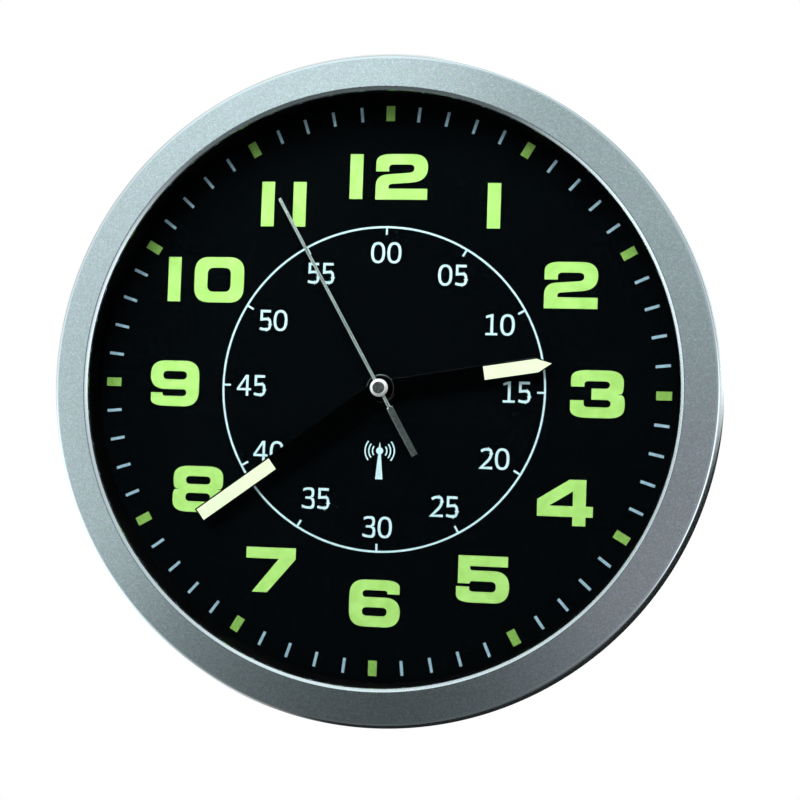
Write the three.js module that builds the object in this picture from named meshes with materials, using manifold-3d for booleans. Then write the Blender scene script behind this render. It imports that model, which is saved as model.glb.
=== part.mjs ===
// Radio-controlled analogue wall clock, 30 cm across, as separate pieces.
// Millimetres. The clock is built facing +Z with the hands' axis on the Z axis and the wall at z = 0.
// The last lines stand it up, so that +Z is up, it faces -Y, and the origin is where the nail holds it.

import * as THREE from 'three';
import { mergeVertices } from 'three/addons/utils/BufferGeometryUtils.js';
import Module from 'manifold-3d';

const wasm = await Module();
wasm.setup();

// Clearances and facets
const TOUCH_GAP = 0.1;
const RUNNING_GAP = 0.2;
const WALL_OVERLAP = 0.4;
const RIM_SEGMENTS = 60;
const SHAFT_SEGMENTS = 16;
const PIVOT_SEGMENTS = 8;
const GLYPH_CURVE_STEPS = 3;
const WINDOW_ARC_STEPS = 3;

// Case, across the face
const CASE_RADIUS = 150;
const SKIRT_CURVE_INSET = 3.4;
const FILLET_INSET = 1.2;
const FACE_WIDTH = 14;
const BEVEL_WIDTH = 1.3;
const SKIRT_WALL = 2.6;
const FACE_WALL = 2.4;
const INNER_WALL = 2.2;
const LENS_SEAT_WIDTH = 3.4;

// Case, through the depth
const LIP_DEPTH = 1.3;
const CREST_RISE = 1.5;
const FACE_DROP = 5.1;
const FILLET_DROP = 1.1;
const SKIRT_CURVE_DEPTH = 13;
const LENS_THICKNESS = 2.0;
const SEAL_THICKNESS = 0.9;
const DIAL_TO_SEAL = 14.4;
const DIAL_THICKNESS = 1.5;
const BACK_RECESS = 2.0;
const BACK_PLATE = 2.4;
const RING_WALL = 3.0;

// Case screws
const SCREW_COUNT = 6;
const SCREW_INSET = 5.8;
const SCREW_SHANK_RADIUS = 1.4;
const SCREW_HEAD_RADIUS = 2.8;
const SCREW_HEAD_HEIGHT = 1.6;
const SCREW_LENGTH = 14;
const SCREW_SLOT_WIDTH = 0.8;
const BOSS_WALL = 1.7;

// Back case
const NAIL_SEAT_HEIGHT = 98;
const NAIL_SLOT_LENGTH = 11;
const NAIL_HEAD_RADIUS = 5;
const NAIL_SLOT_RADIUS = 2.5;
const DIAL_SEAT_INSET = 4.1;
const DIAL_SEAT_WALL = 2.4;
const WINDOW_GAP = 1.0;
const WINDOW_WALL = 2.0;
const WINDOW_WALL_HEIGHT = 8;
const RIB_HEIGHT = 6;
const RIB_WALL = 2.0;
const RIB_COUNT = 8;

// Hour numerals: bold extended figures, drawn in a box with its lower left corner at zero
const NUMERAL_RADIUS = 95.6;
const PRINT_THICKNESS = 0.25;
const BLOCK_INSET = 5.8;
const BLOCK_WIDTH = 3.9;
const BLOCK_LENGTH = 6.8;
const TICK_WIDTH = 1.3;
const TICK_LENGTH = 6.6;
const RING_RADIUS = 72.7;
const RING_LINE = 0.9;
const RING_TICK_LENGTH = 3.0;

// Hands, at the time in the photograph, in degrees clockwise from twelve
const HOUR_ANGLE = 80.4;
const MINUTE_ANGLE = 233.4;
const SECOND_ANGLE = 330.2;
const HAND_THICKNESS = 0.6;
const LUME_POCKET = 0.25;
const LUME_PROUD = 0.15;
const HOUR_HAND_GAP = 0.8;
const MINUTE_HAND_GAP = 1.3;
const SECOND_HAND_GAP = 1.1;
const HOUR_HAND_REACH = 77.2;
const HOUR_HAND_POINT = 6.9;
const HOUR_HAND_ROOT_WIDTH = 6.8;
const HOUR_HAND_TIP_WIDTH = 7.4;
const HOUR_HUB_RADIUS = 6.4;
const HOUR_LUME_START = 46.4;
const HOUR_LUME_WIDTH = 6.2;
const MINUTE_HAND_REACH = 99.7;
const MINUTE_HAND_ROOT_WIDTH = 7.7;
const MINUTE_HAND_TIP_WIDTH = 7.0;
const MINUTE_LUME_START = 58.8;
const MINUTE_LUME_WIDTH = 5.8;
const LUME_BORDER = 0.6;
const SECOND_HAND_REACH = 96.7;
const SECOND_HAND_WIDTH = 1.35;
const SECOND_TAIL_REACH = 33.8;
const SECOND_WEIGHT_START = 9.8;
const SECOND_WEIGHT_WIDTH = 2.8;
const SECOND_HUB_RADIUS = 3.2;
const SECOND_HUB_DEPTH = 0.9;
const CAP_RADIUS = 4.0;
const CAP_RIM = 0.5;
const CAP_DOME = 1.5;

// Coaxial shafts at the centre, from the inside out
const SECOND_ARBOR_RADIUS = 0.6;
const PIPE_PLAY = 0.3;
const MINUTE_PIPE_WALL = 0.8;
const HOUR_PIPE_WALL = 0.55;
const TUBE_WALL = 1.15;
const TUBE_PROUD = 0.6;
const NUT_WALL = 1.5;
const NUT_THICKNESS = 2.0;
const STEEL_WASHER_RIM = 2.2;
const STEEL_WASHER_THICKNESS = 0.4;
const RUBBER_WASHER_RIM = 5;
const RUBBER_WASHER_THICKNESS = 0.8;

// Battery, AA size, and its bay at the bottom of the movement
const BATTERY_RADIUS = 7.25;
const BATTERY_LENGTH = 50.5;
const BATTERY_NUB_RADIUS = 2.75;
const BATTERY_NUB_LENGTH = 1.2;
const BAY_SIDE_GAP = 0.3;
const CONTACT_SPACE = 1.7;
const CONTACT_STRIP = 0.4;
const CONTACT_WIDTH = 8;
const CONTACT_TAB_WIDTH = 3;
const CONTACT_TAB_REACH = 4.5;

// Movement housing
const BAY_END_WALL = 5;
const HOUSING_TOP_GAP = 2.1;
const HOUSING_WALL = 1.4;
const HOUSING_CORNER = 4;
const FRONT_WALL = 1.2;
const BAY_FLOOR = 0.9;
const HOUSING_CORNER_STEPS = 5;
const MOVEMENT_WALL_GAP = 4.0;

// Wheel trains, listed from the dial to the back
const WHEEL_THICKNESS = 0.8;
const LAYER_GAP = 0.6;
const LAYER_COUNT = 7;
const TOOTH_BACKLASH_SHARE = 0.42;
const PLATE_SIDE_MARGIN = 0.8;
const PLATE_DROP = 11.5;
const BRIDGE_RISE = 13;
const COIL_GAP = 2.5;
const TRAIN_PLATE_MARGIN = 1;
const POST_INSET = 2.2;
const POST_RADIUS = 1.5;
const POST_PIN_RADIUS = 0.8;
const ARBOR_RADIUS = 0.5;
const PIVOT_RADIUS = 0.35;
const PIVOT_PLAY = 0.1;
const HOUR_WHEEL_TEETH = 32;
const HOUR_MODULE = 0.6;
const MOTION_PINION_TEETH = 8;
const MOTION_WHEEL_TEETH = 24;
const MINUTE_PINION_TEETH = 8;
const MOTION_MODULE = 0.75;
const MINUTE_WHEEL_TEETH = 30;
const MINUTE_MODULE = 0.47;
const TRAIN_WHEEL_TEETH = 36;
const LEAVES = 6;
const TRAIN_MODULE = 0.4;
const ROTOR_MODULE = 0.33;
const SECOND_WHEEL_TEETH = 36;
const SECOND_REDUCTION_TEETH = 30;
const MOTION_DIRECTION = 90;
const MINUTE_TRAIN_DIRECTION = 200;
const MINUTE_OUTER_DIRECTION = 160;
const MINUTE_ROTOR_DIRECTION = 80;
const SECOND_TRAIN_DIRECTION = -20;
const SECOND_ROTOR_DIRECTION = 45;

// Motors
const MAGNET_RADIUS = 2.5;
const MAGNET_THICKNESS = 1.6;
const MAGNET_GAP = 0.5;
const ROTOR_BOSS_RADIUS = 1.6;
const ROTOR_BOSS_HEIGHT = 1.2;
const STATOR_HALF_WIDTH = 9.6;
const STATOR_BAR = 3.0;
const STATOR_RING = 2.2;
const STATOR_THICKNESS = 0.8;
const COIL_LENGTH = 12.6;
const COIL_WIDTH = 7;
const COIL_DEPTH = 4.6;
const COIL_CORNER = 1.6;

// Radio receiver
const FERRITE_RADIUS = 4;
const FERRITE_LENGTH = 54;
const FERRITE_GAP = 5;
const ANTENNA_COIL_RADIUS = 5;
const ANTENNA_COIL_LENGTH = 18;
const CRADLE_GAP = 9.5;
const CRADLE_THICKNESS = 3;
const CRADLE_WALL = 1.6;

// Circuit board and what is on it
const BOARD_EDGE_GAP = 0.65;
const BOARD_HEIGHT = 17.8;
const BOARD_GAP = 1.7;
const BOARD_POST_INSET = 2.5;
const CHIP_PLACE = -12;
const CRYSTAL_PLACE = 6;
const CRYSTAL_SPREAD = 2.5;
const BOARD_THICKNESS = 0.9;
const CHIP_SIDE = 7;
const CHIP_HEIGHT = 1.2;
const CRYSTAL_RADIUS = 1.5;
const CRYSTAL_LENGTH = 8;

// Buttons on the back
const BUTTON_RADIUS = 2.3;
const RESET_RADIUS = 1.2;
const BUTTON_FLANGE = 0.8;
const BUTTON_FLANGE_THICKNESS = 0.7;
const BUTTON_PROUD = 0.7;
const BUTTON_TRAVEL = 0.6;
const SWITCH_SIDE = 5;
const SWITCH_PLUNGER_RADIUS = 1.1;
const SWITCH_PLUNGER_HEIGHT = 0.4;
const BUTTON_PLACES = { receive: 20, set: 11, reset: 3 };

// Depths that follow from the sizes above, as heights in front of the wall
const batteryBayDepth = 2 * BATTERY_RADIUS + 2 * BAY_SIDE_GAP;
const layerPitch = WHEEL_THICKNESS + LAYER_GAP;
const motorDepth = TOUCH_GAP + STATOR_THICKNESS / 2 + COIL_DEPTH / 2 + RUNNING_GAP;
const trainDepth = HOUSING_WALL + motorDepth + LAYER_COUNT * layerPitch + FRONT_WALL;
const movementBack = MOVEMENT_WALL_GAP;
const movementFront = movementBack + Math.max(batteryBayDepth + BAY_FLOOR, trainDepth);
const dialBack = movementFront + RUBBER_WASHER_THICKNESS + 2 * TOUCH_GAP;
const dialFace = dialBack + DIAL_THICKNESS;
const spacerTop = dialFace + DIAL_TO_SEAL;
const sealTop = spacerTop + TOUCH_GAP + SEAL_THICKNESS;
const lensBack = sealTop + TOUCH_GAP;
const lensFront = lensBack + LENS_THICKNESS;
const lipBack = lensFront + TOUCH_GAP;
const lipFront = lipBack + LIP_DEPTH;
const crest = lipFront + CREST_RISE;
const faceEdge = crest - FACE_DROP;
const skirtTop = faceEdge - FILLET_DROP;
const backPlateFront = BACK_RECESS + BACK_PLATE;

// The shafts, the clamping stack on the dial and the hands above it
const minutePipeBore = SECOND_ARBOR_RADIUS + PIPE_PLAY;
const minutePipeRadius = minutePipeBore + MINUTE_PIPE_WALL;
const hourPipeBore = minutePipeRadius + PIPE_PLAY;
const hourPipeRadius = hourPipeBore + HOUR_PIPE_WALL;
const tubeBore = hourPipeRadius + PIPE_PLAY;
const tubeRadius = tubeBore + TUBE_WALL;
const boreRadius = tubeRadius + TOUCH_GAP;
const washerBottom = dialFace + TOUCH_GAP;
const nutBottom = washerBottom + STEEL_WASHER_THICKNESS + TOUCH_GAP;
const tubeTop = nutBottom + NUT_THICKNESS + TUBE_PROUD;
const hourHandShoulder = HOUR_HAND_REACH - HOUR_HAND_POINT;
const hourHandBottom = tubeTop + HOUR_HAND_GAP;
const minuteHandBottom = hourHandBottom + HAND_THICKNESS + MINUTE_HAND_GAP;
const secondHandBottom = minuteHandBottom + HAND_THICKNESS + SECOND_HAND_GAP;

// Radii that follow
const skirtTopRadius = CASE_RADIUS - SKIRT_CURVE_INSET;
const faceOuterRadius = skirtTopRadius - FILLET_INSET;
const crestRadius = faceOuterRadius - FACE_WIDTH;
const lipRadius = crestRadius - BEVEL_WIDTH;
const pocketRadius = lipRadius + LENS_SEAT_WIDTH;
const stackRadius = pocketRadius - RUNNING_GAP;
const skirtInner = CASE_RADIUS - SKIRT_WALL;
const screwCircleRadius = skirtInner - SCREW_INSET;
const dialSeatRadius = lipRadius - DIAL_SEAT_INSET;
const blockRadius = lipRadius - BLOCK_INSET;

// Levels of the wheel trains, as heights in front of the wall
const frontWallBack = movementFront - FRONT_WALL;
const rearWallFront = movementBack + HOUSING_WALL;
const layerTop = (layer) => frontWallBack - LAYER_GAP - layer * layerPitch;
const layerBottom = (layer) => layerTop(layer) - WHEEL_THICKNESS;
const HOUR_LAYER = 0;
const MOTION_LAYER = 1;
const TRAIN_PLATE_LAYER = 2;
const MINUTE_LAYER = 3;
const REDUCTION_LAYER = 4;
const SECOND_LAYER = 5;
const BRIDGE_LAYER = LAYER_COUNT - 1;
const statorTop = layerBottom(BRIDGE_LAYER) - TOUCH_GAP;
const statorMiddle = statorTop - STATOR_THICKNESS / 2;
const boardTop = layerTop(BRIDGE_LAYER);
const boardBottom = boardTop - BOARD_THICKNESS;

const materials = {
  silverPaint: material(0x9c9fa3, 0.35, 0.65),
  glass: clearMaterial(0xf4fafa),
  blackPlastic: material(0x101214, 0.55, 0),
  dialBlack: material(0x07090a, 0.5, 0),
  rubber: material(0x1b1b1c, 0.9, 0),
  steel: material(0x9aa0a0, 0.3, 1),
  chrome: material(0xd8dcdc, 0.12, 1),
  handBlack: material(0x050505, 0.4, 0.2),
  lume: material(0xe9fbd2, 0.7, 0),
  whitePlastic: material(0xd9d8cf, 0.5, 0),
  brass: material(0xb08d45, 0.35, 1),
  copper: material(0xa8592c, 0.4, 0.9),
  ferrite: material(0x35363a, 0.6, 0.3),
  board: material(0x2a6b3c, 0.5, 0),
  battery: material(0x2f6f8f, 0.35, 0.3),
  magnet: material(0x5c5f63, 0.4, 0.8),
};

function material(color, roughness, metalness) {
  return new THREE.MeshStandardMaterial({ color, roughness, metalness });
}

function clearMaterial(color) {
  const clear = material(color, 0.05, 0);
  clear.transparent = true;
  clear.opacity = 0.12;
  return clear;
}

// A closed geometry becomes a solid: shared corners are merged and the faces are turned outwards
function solid(geometry) {
  geometry.deleteAttribute('normal');
  geometry.deleteAttribute('uv');
  const merged = mergeVertices(geometry, 1e-5);
  const position = merged.attributes.position.array;
  const corners = merged.index.array;
  const kept = [];
  let volume = 0;
  const a = new THREE.Vector3();
  const b = new THREE.Vector3();
  const c = new THREE.Vector3();
  for (let i = 0; i < corners.length; i += 3) {
    const [p, q, r] = [corners[i], corners[i + 1], corners[i + 2]];
    if (p === q || q === r || r === p) continue;
    kept.push(p, q, r);
    a.fromArray(position, 3 * p);
    b.fromArray(position, 3 * q);
    c.fromArray(position, 3 * r);
    volume += a.dot(b.cross(c));
  }
  if (volume < 0) kept.reverse();
  const vertProperties = new Float32Array(position);
  const triVerts = new Uint32Array(kept);
  return new wasm.Manifold(new wasm.Mesh({ numProp: 3, vertProperties, triVerts }));
}

function join(bodies) {
  return bodies.reduce((whole, body) => whole.add(body));
}

function cut(body, tools) {
  return tools.reduce((left, tool) => left.subtract(tool), body);
}

// A flat outline, extruded between two heights
function plate(shape, bottom, top, curveSteps = WINDOW_ARC_STEPS) {
  const geometry = new THREE.ExtrudeGeometry(shape, {
    depth: top - bottom,
    bevelEnabled: false,
    curveSegments: curveSteps,
  });
  geometry.translate(0, 0, bottom);
  return solid(geometry);
}

// A closed profile of [radius, height] points, turned about the Z axis
function turned(profile, segments = SHAFT_SEGMENTS) {
  const points = profile.map(([radius, height]) => new THREE.Vector2(radius, height));
  const geometry = new THREE.LatheGeometry([...points, points[0]], segments);
  geometry.rotateX(Math.PI / 2);
  return solid(geometry);
}

function rod(radius, bottom, top, x = 0, y = 0, segments = SHAFT_SEGMENTS) {
  const geometry = new THREE.CylinderGeometry(radius, radius, top - bottom, segments);
  geometry.rotateX(Math.PI / 2);
  geometry.translate(x, y, (bottom + top) / 2);
  return solid(geometry);
}

function pipe(outer, inner, bottom, top, segments = SHAFT_SEGMENTS) {
  return turned([[inner, bottom], [outer, bottom], [outer, top], [inner, top]], segments);
}

// A rod that lies along the X axis
function lyingRod(radius, left, right, y, z, segments = SHAFT_SEGMENTS) {
  const geometry = new THREE.CylinderGeometry(radius, radius, right - left, segments);
  geometry.rotateZ(Math.PI / 2);
  geometry.translate((left + right) / 2, y, z);
  return solid(geometry);
}

function block(left, right, low, high, bottom, top) {
  const geometry = new THREE.BoxGeometry(right - left, high - low, top - bottom);
  geometry.translate((left + right) / 2, (low + high) / 2, (bottom + top) / 2);
  return solid(geometry);
}

function rectangle(left, right, low, high) {
  const shape = new THREE.Shape();
  shape.moveTo(left, low);
  shape.lineTo(right, low);
  shape.lineTo(right, high);
  shape.lineTo(left, high);
  return shape;
}

// An outline from corners [x, y, rounding]: a rounded corner is a curve that starts and ends
// at the rounding's distance from it, or halfway along a side that is too short
function rounded(corners, Outline = THREE.Shape) {
  const outline = new Outline();
  const count = corners.length;
  corners.forEach(([x, y, rounding = 0], i) => {
    const [px, py] = corners[(i + count - 1) % count];
    const [nx, ny] = corners[(i + 1) % count];
    const start = new THREE.Vector2(px - x, py - y);
    const end = new THREE.Vector2(nx - x, ny - y);
    start.setLength(Math.min(rounding, start.length() / 2));
    end.setLength(Math.min(rounding, end.length() / 2));
    if (i === 0) outline.moveTo(x + start.x, y + start.y);
    else outline.lineTo(x + start.x, y + start.y);
    if (rounding > 0) outline.quadraticCurveTo(x, y, x + end.x, y + end.y);
  });
  outline.closePath();
  return outline;
}

function roundedBox(left, right, low, high, corner, Outline = THREE.Shape) {
  const corners = [[left, low, corner], [right, low, corner], [right, high, corner], [left, high, corner]];
  return rounded(corners, Outline);
}

const polar = (radius, degrees) => [
  radius * Math.cos(THREE.MathUtils.degToRad(degrees)),
  radius * Math.sin(THREE.MathUtils.degToRad(degrees)),
];

// A clock direction in degrees clockwise from twelve, at a radius
const clockwise = (radius, degrees) => polar(radius, 90 - degrees);

// Bezel

function bezelOutline() {
  const curve = new THREE.QuadraticBezierCurve(
    new THREE.Vector2(CASE_RADIUS, skirtTop - SKIRT_CURVE_DEPTH),
    new THREE.Vector2(CASE_RADIUS, skirtTop - SKIRT_CURVE_DEPTH / 2),
    new THREE.Vector2(skirtTopRadius, skirtTop),
  );
  const skirt = curve.getPoints(3).map((point) => [point.x, point.y]);
  const shoulder = [(faceOuterRadius + skirtTopRadius * 2) / 3, (faceEdge * 2 + skirtTop) / 3];
  return [
    [CASE_RADIUS, 0],
    ...skirt,
    shoulder,
    [faceOuterRadius, faceEdge],
    [crestRadius, crest],
    [lipRadius, lipFront],
    [lipRadius, lipBack],
    [pocketRadius, lipBack],
  ];
}

function channelProfile() {
  const slope = (crest - faceEdge) / (faceOuterRadius - crestRadius);
  const inner = pocketRadius + INNER_WALL;
  const ceiling = (radius) => crest - (radius - crestRadius) * slope - FACE_WALL;
  const shoulder = faceOuterRadius - FACE_WALL / 2;
  return [
    [inner, -1],
    [skirtInner, -1],
    [skirtInner, skirtTop - SKIRT_CURVE_DEPTH],
    [shoulder, ceiling(shoulder)],
    [inner, ceiling(inner)],
  ];
}

function screwPlaces() {
  const pitch = 360 / SCREW_COUNT;
  return Array.from({ length: SCREW_COUNT }, (_, i) => clockwise(screwCircleRadius, pitch * (i + 0.5)));
}

function makeBezel() {
  const innerWallEnd = dialFace - DIAL_THICKNESS - RING_WALL;
  const bossRadius = SCREW_SHANK_RADIUS + BOSS_WALL;
  const bossEnd = backPlateFront + TOUCH_GAP;
  const body = turned([...bezelOutline(), [pocketRadius, 0]], RIM_SEGMENTS);
  const bosses = screwPlaces().map(([x, y]) => rod(bossRadius, bossEnd, crest, x, y, PIVOT_SEGMENTS));
  const channel = cut(turned(channelProfile(), RIM_SEGMENTS), bosses);
  const rearOpening = pipe(skirtInner, pocketRadius - 1, -1, bossEnd, RIM_SEGMENTS);
  const wallOuter = pocketRadius + INNER_WALL + TOUCH_GAP;
  const wallCut = pipe(wallOuter, pocketRadius - 1, -1, innerWallEnd, RIM_SEGMENTS);
  const pilotEnd = BACK_RECESS + SCREW_LENGTH + 1;
  const pilots = screwPlaces().map(([x, y]) => {
    return rod(SCREW_SHANK_RADIUS + TOUCH_GAP, 0, pilotEnd, x, y, PIVOT_SEGMENTS);
  });
  return cut(body, [channel, rearOpening, wallCut, ...pilots]);
}

// Glass, seal and spacer, stacked between the lip and the dial

const makeLens = () => rod(stackRadius, lensBack, lensFront, 0, 0, RIM_SEGMENTS);

function makeSeal() {
  return pipe(stackRadius, stackRadius - RING_WALL, spacerTop + TOUCH_GAP, sealTop, RIM_SEGMENTS);
}

function makeSpacer() {
  return pipe(stackRadius, stackRadius - RING_WALL, dialFace + TOUCH_GAP, spacerTop, RIM_SEGMENTS);
}

// Figures of the hour numerals, as corners [x, y, rounding]

const BIG = 7;
const NOTCH = 3.6;
const SMALL = 2.2;

const figures = {
  0: {
    width: 23.2,
    outline: [[0, 0, BIG], [23.2, 0, BIG], [23.2, 20.8, BIG], [0, 20.8, BIG]],
    holes: [[[6.1, 4.9, 3], [17, 4.9, 3], [17, 15.9, 3], [6.1, 15.9, 3]]],
  },
  1: { width: 5.95, outline: [[0, 0.2], [5.95, 0.2], [5.95, 20.6], [0, 20.6]], holes: [] },
  2: {
    width: 23.5,
    outline: [
      [0, 0], [23.5, 0], [23.5, 5], [5.9, 5], [5.9, 7, 1.8], [23.5, 8.4, BIG], [23.5, 20.7, BIG],
      [0, 20.7, BIG], [0, 12.8], [5.9, 12.8], [5.9, 15.95, SMALL], [17.4, 15.95, SMALL],
      [17.4, 12.4, SMALL], [0, 11, 5],
    ],
    holes: [],
  },
  3: {
    width: 23.7,
    outline: [
      [0, 0, BIG], [23.7, 0, BIG], [23.7, 10.1, NOTCH], [20.3, 10.4], [23.1, 10.7, NOTCH],
      [23.1, 20.9, BIG], [0.2, 20.9, BIG], [0.2, 13.6], [6.1, 13.6], [6.1, 16.1, SMALL],
      [17.1, 16.1, SMALL], [17.1, 12.9, SMALL], [9.2, 12.9], [9.2, 8], [17.6, 8, SMALL],
      [17.6, 4.7, SMALL], [5.9, 4.7, SMALL], [5.9, 7.6], [0, 7.6],
    ],
    holes: [],
  },
  4: {
    width: 24.3,
    outline: [
      [15.5, 0.3], [21.2, 0.3], [21.2, 4.2], [24.3, 4.2], [24.3, 8.9], [21.2, 8.9], [21.2, 20.5],
      [13.9, 20.5], [0, 11.6], [0, 4.2], [15.5, 4.2],
    ],
    holes: [[[5.3, 8.9], [15.5, 8.9], [15.5, 15.4]]],
  },
  5: {
    width: 23.4,
    outline: [
      [0, 0, BIG], [23.4, 0, BIG], [23.4, 14.1, BIG], [6, 14.1, 1.6], [6, 16], [22.6, 16],
      [22.6, 20.6], [0.7, 20.6], [0.7, 8.3], [5.9, 8.3], [6.2, 9.4, 1.2], [17.5, 9.4, SMALL],
      [17.5, 4.8, SMALL], [5.8, 4.8, SMALL], [5.8, 6.9], [0, 6.9],
    ],
    holes: [],
  },
  6: {
    width: 22.9,
    outline: [
      [0, 0, BIG], [22.9, 0, BIG], [22.9, 13.1, BIG], [5.9, 13.1, 1.6], [5.9, 16.2, SMALL],
      [17, 16.2, 1.6], [17.1, 14.7], [22.5, 14.7], [22.5, 20.8, BIG], [0, 20.8, BIG],
    ],
    holes: [[[5.9, 4.8, SMALL], [17, 4.8, SMALL], [17, 8.6, SMALL], [5.9, 8.6, SMALL]]],
  },
  7: {
    width: 22.7,
    outline: [[3.1, 0.3], [10.1, 0.3], [22.7, 15.4], [22.7, 20.4], [0, 20.4], [0, 15.4], [15, 15.4]],
    holes: [],
  },
  8: {
    width: 23.5,
    outline: [
      [0, 0, BIG], [23.5, 0, BIG], [23.5, 10.1, NOTCH], [20.4, 10.4], [23.3, 10.7, NOTCH],
      [23.3, 20.8, BIG], [0.2, 20.8, BIG], [0.2, 10.7, NOTCH], [3.1, 10.4], [0, 10.1, NOTCH],
    ],
    holes: [
      [[6, 4.8, SMALL], [17.5, 4.8, SMALL], [17.5, 8.6, SMALL], [6, 8.6, SMALL]],
      [[6, 12.6, SMALL], [17.5, 12.6, SMALL], [17.5, 16.2, SMALL], [6, 16.2, SMALL]],
    ],
  },
};

const FIGURE_HEIGHT = 20.8;
const FIGURE_GAPS = { 10: 6.4, 11: 8.7, 12: 5.9 };

// The nine is the six turned half round
function figureShape(figure, left, low) {
  const source = figures[figure === '9' ? '6' : figure];
  const place = ([x, y, rounding]) => {
    if (figure === '9') return [left + source.width - x, low + FIGURE_HEIGHT - y, rounding];
    return [left + x, low + y, rounding];
  };
  const shape = rounded(source.outline.map(place));
  shape.holes = source.holes.map((hole) => rounded(hole.map(place), THREE.Path));
  return shape;
}

function numeralShapes(hour) {
  const [cx, cy] = clockwise(NUMERAL_RADIUS, hour * 30);
  const text = [...String(hour)];
  const widths = text.map((figure) => figures[figure === '9' ? '6' : figure].width);
  const gap = FIGURE_GAPS[hour] ?? 0;
  const total = widths.reduce((sum, width) => sum + width, gap * (text.length - 1));
  let left = cx - total / 2;
  return text.map((figure, i) => {
    const shape = figureShape(figure, left, cy - FIGURE_HEIGHT / 2);
    left += widths[i] + gap;
    return shape;
  });
}

function radialBar(radius, degrees, width, length) {
  const [rx, ry] = clockwise(1, degrees);
  const corner = (along, across) => {
    const reach = radius + along * length / 2;
    const side = across * width / 2;
    return [reach * rx - side * ry, reach * ry + side * rx];
  };
  return rounded([corner(-1, -1), corner(1, -1), corner(1, 1), corner(-1, 1)]);
}

// Dial: a disc with everything that is printed thick standing a little proud

function makeDial() {
  const disc = pipe(stackRadius, boreRadius, dialBack, dialFace, RIM_SEGMENTS);
  const root = dialFace - DIAL_THICKNESS / 2;
  const proud = dialFace + PRINT_THICKNESS;
  const prints = [];
  for (let hour = 1; hour <= 12; hour += 1) {
    numeralShapes(hour).forEach((shape) => prints.push(plate(shape, root, proud, GLYPH_CURVE_STEPS)));
  }
  for (let minute = 0; minute < 60; minute += 1) {
    const onHour = minute % 5 === 0;
    const width = onHour ? BLOCK_WIDTH : TICK_WIDTH;
    const length = onHour ? BLOCK_LENGTH : TICK_LENGTH;
    prints.push(plate(radialBar(blockRadius, minute * 6, width, length), root, proud));
    if (!onHour) continue;
    const reach = RING_RADIUS - RING_TICK_LENGTH / 2;
    prints.push(plate(radialBar(reach, minute * 6, RING_LINE, RING_TICK_LENGTH), root, proud));
  }
  const ringOuter = RING_RADIUS + RING_LINE / 2;
  prints.push(pipe(ringOuter, ringOuter - RING_LINE, root, proud, RIM_SEGMENTS));
  return join([disc, ...prints]);
}

// Hands

// A tapered blade that points along +Y, with a round hub and a bore for its pipe
function blade(rootWidth, tipWidth, reach, shoulder, hubRadius, bore, bottom) {
  const outline = rounded([
    [-rootWidth / 2, 0], [rootWidth / 2, 0], [tipWidth / 2, shoulder],
    [shoulder < reach ? 0 : tipWidth / 2, reach], [-tipWidth / 2, shoulder],
  ]);
  const top = bottom + HAND_THICKNESS;
  const hub = rod(hubRadius, bottom, top);
  const hole = rod(bore, bottom - 1, top + 1);
  return cut(join([plate(outline, bottom, top), hub]), [hole]);
}

function lumeOutline(start, width, shoulder, reach, shrink) {
  const half = width / 2 - shrink;
  const end = shoulder < reach ? shoulder : reach - LUME_BORDER;
  const corners = [[-half, start + shrink], [half, start + shrink], [half, end - shrink]];
  if (shoulder < reach) corners.push([0, reach - LUME_BORDER - shrink]);
  corners.push([-half, end - shrink]);
  return rounded(corners);
}

function lumePocket(start, width, shoulder, reach, bottom) {
  const top = bottom + HAND_THICKNESS;
  return plate(lumeOutline(start, width, shoulder, reach, 0), top - LUME_POCKET, top + 1);
}

function lumeInsert(start, width, shoulder, reach, bottom) {
  const top = bottom + HAND_THICKNESS;
  const low = top - LUME_POCKET + TOUCH_GAP / 2;
  return plate(lumeOutline(start, width, shoulder, reach, TOUCH_GAP), low, top + LUME_PROUD);
}

const hourLume = [
  HOUR_LUME_START, HOUR_LUME_WIDTH, hourHandShoulder, HOUR_HAND_REACH, hourHandBottom,
];
const minuteLume = [
  MINUTE_LUME_START, MINUTE_LUME_WIDTH, MINUTE_HAND_REACH, MINUTE_HAND_REACH, minuteHandBottom,
];

function makeHourHand() {
  const bore = hourPipeRadius + TOUCH_GAP;
  const hand = blade(
    HOUR_HAND_ROOT_WIDTH, HOUR_HAND_TIP_WIDTH, HOUR_HAND_REACH, hourHandShoulder,
    HOUR_HUB_RADIUS, bore, hourHandBottom,
  );
  return cut(hand, [lumePocket(...hourLume)]);
}

function makeMinuteHand() {
  const bore = minutePipeRadius + TOUCH_GAP;
  const hand = blade(
    MINUTE_HAND_ROOT_WIDTH, MINUTE_HAND_TIP_WIDTH, MINUTE_HAND_REACH, MINUTE_HAND_REACH,
    MINUTE_HAND_ROOT_WIDTH / 2, bore, minuteHandBottom,
  );
  return cut(hand, [lumePocket(...minuteLume)]);
}

function makeSecondHand() {
  const bottom = secondHandBottom;
  const top = bottom + HAND_THICKNESS;
  const half = SECOND_HAND_WIDTH / 2;
  const heavy = SECOND_WEIGHT_WIDTH / 2;
  const outline = rounded([
    [-half, -SECOND_WEIGHT_START], [-heavy, -SECOND_WEIGHT_START], [-heavy, -SECOND_TAIL_REACH],
    [heavy, -SECOND_TAIL_REACH], [heavy, -SECOND_WEIGHT_START], [half, -SECOND_WEIGHT_START],
    [half, SECOND_HAND_REACH], [-half, SECOND_HAND_REACH],
  ]);
  const hub = rod(SECOND_HUB_RADIUS, top - SECOND_HUB_DEPTH, top);
  const bore = rod(SECOND_ARBOR_RADIUS + TOUCH_GAP, bottom - 2, top - 0.2);
  return cut(join([plate(outline, bottom, top), hub]), [bore]);
}

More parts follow.
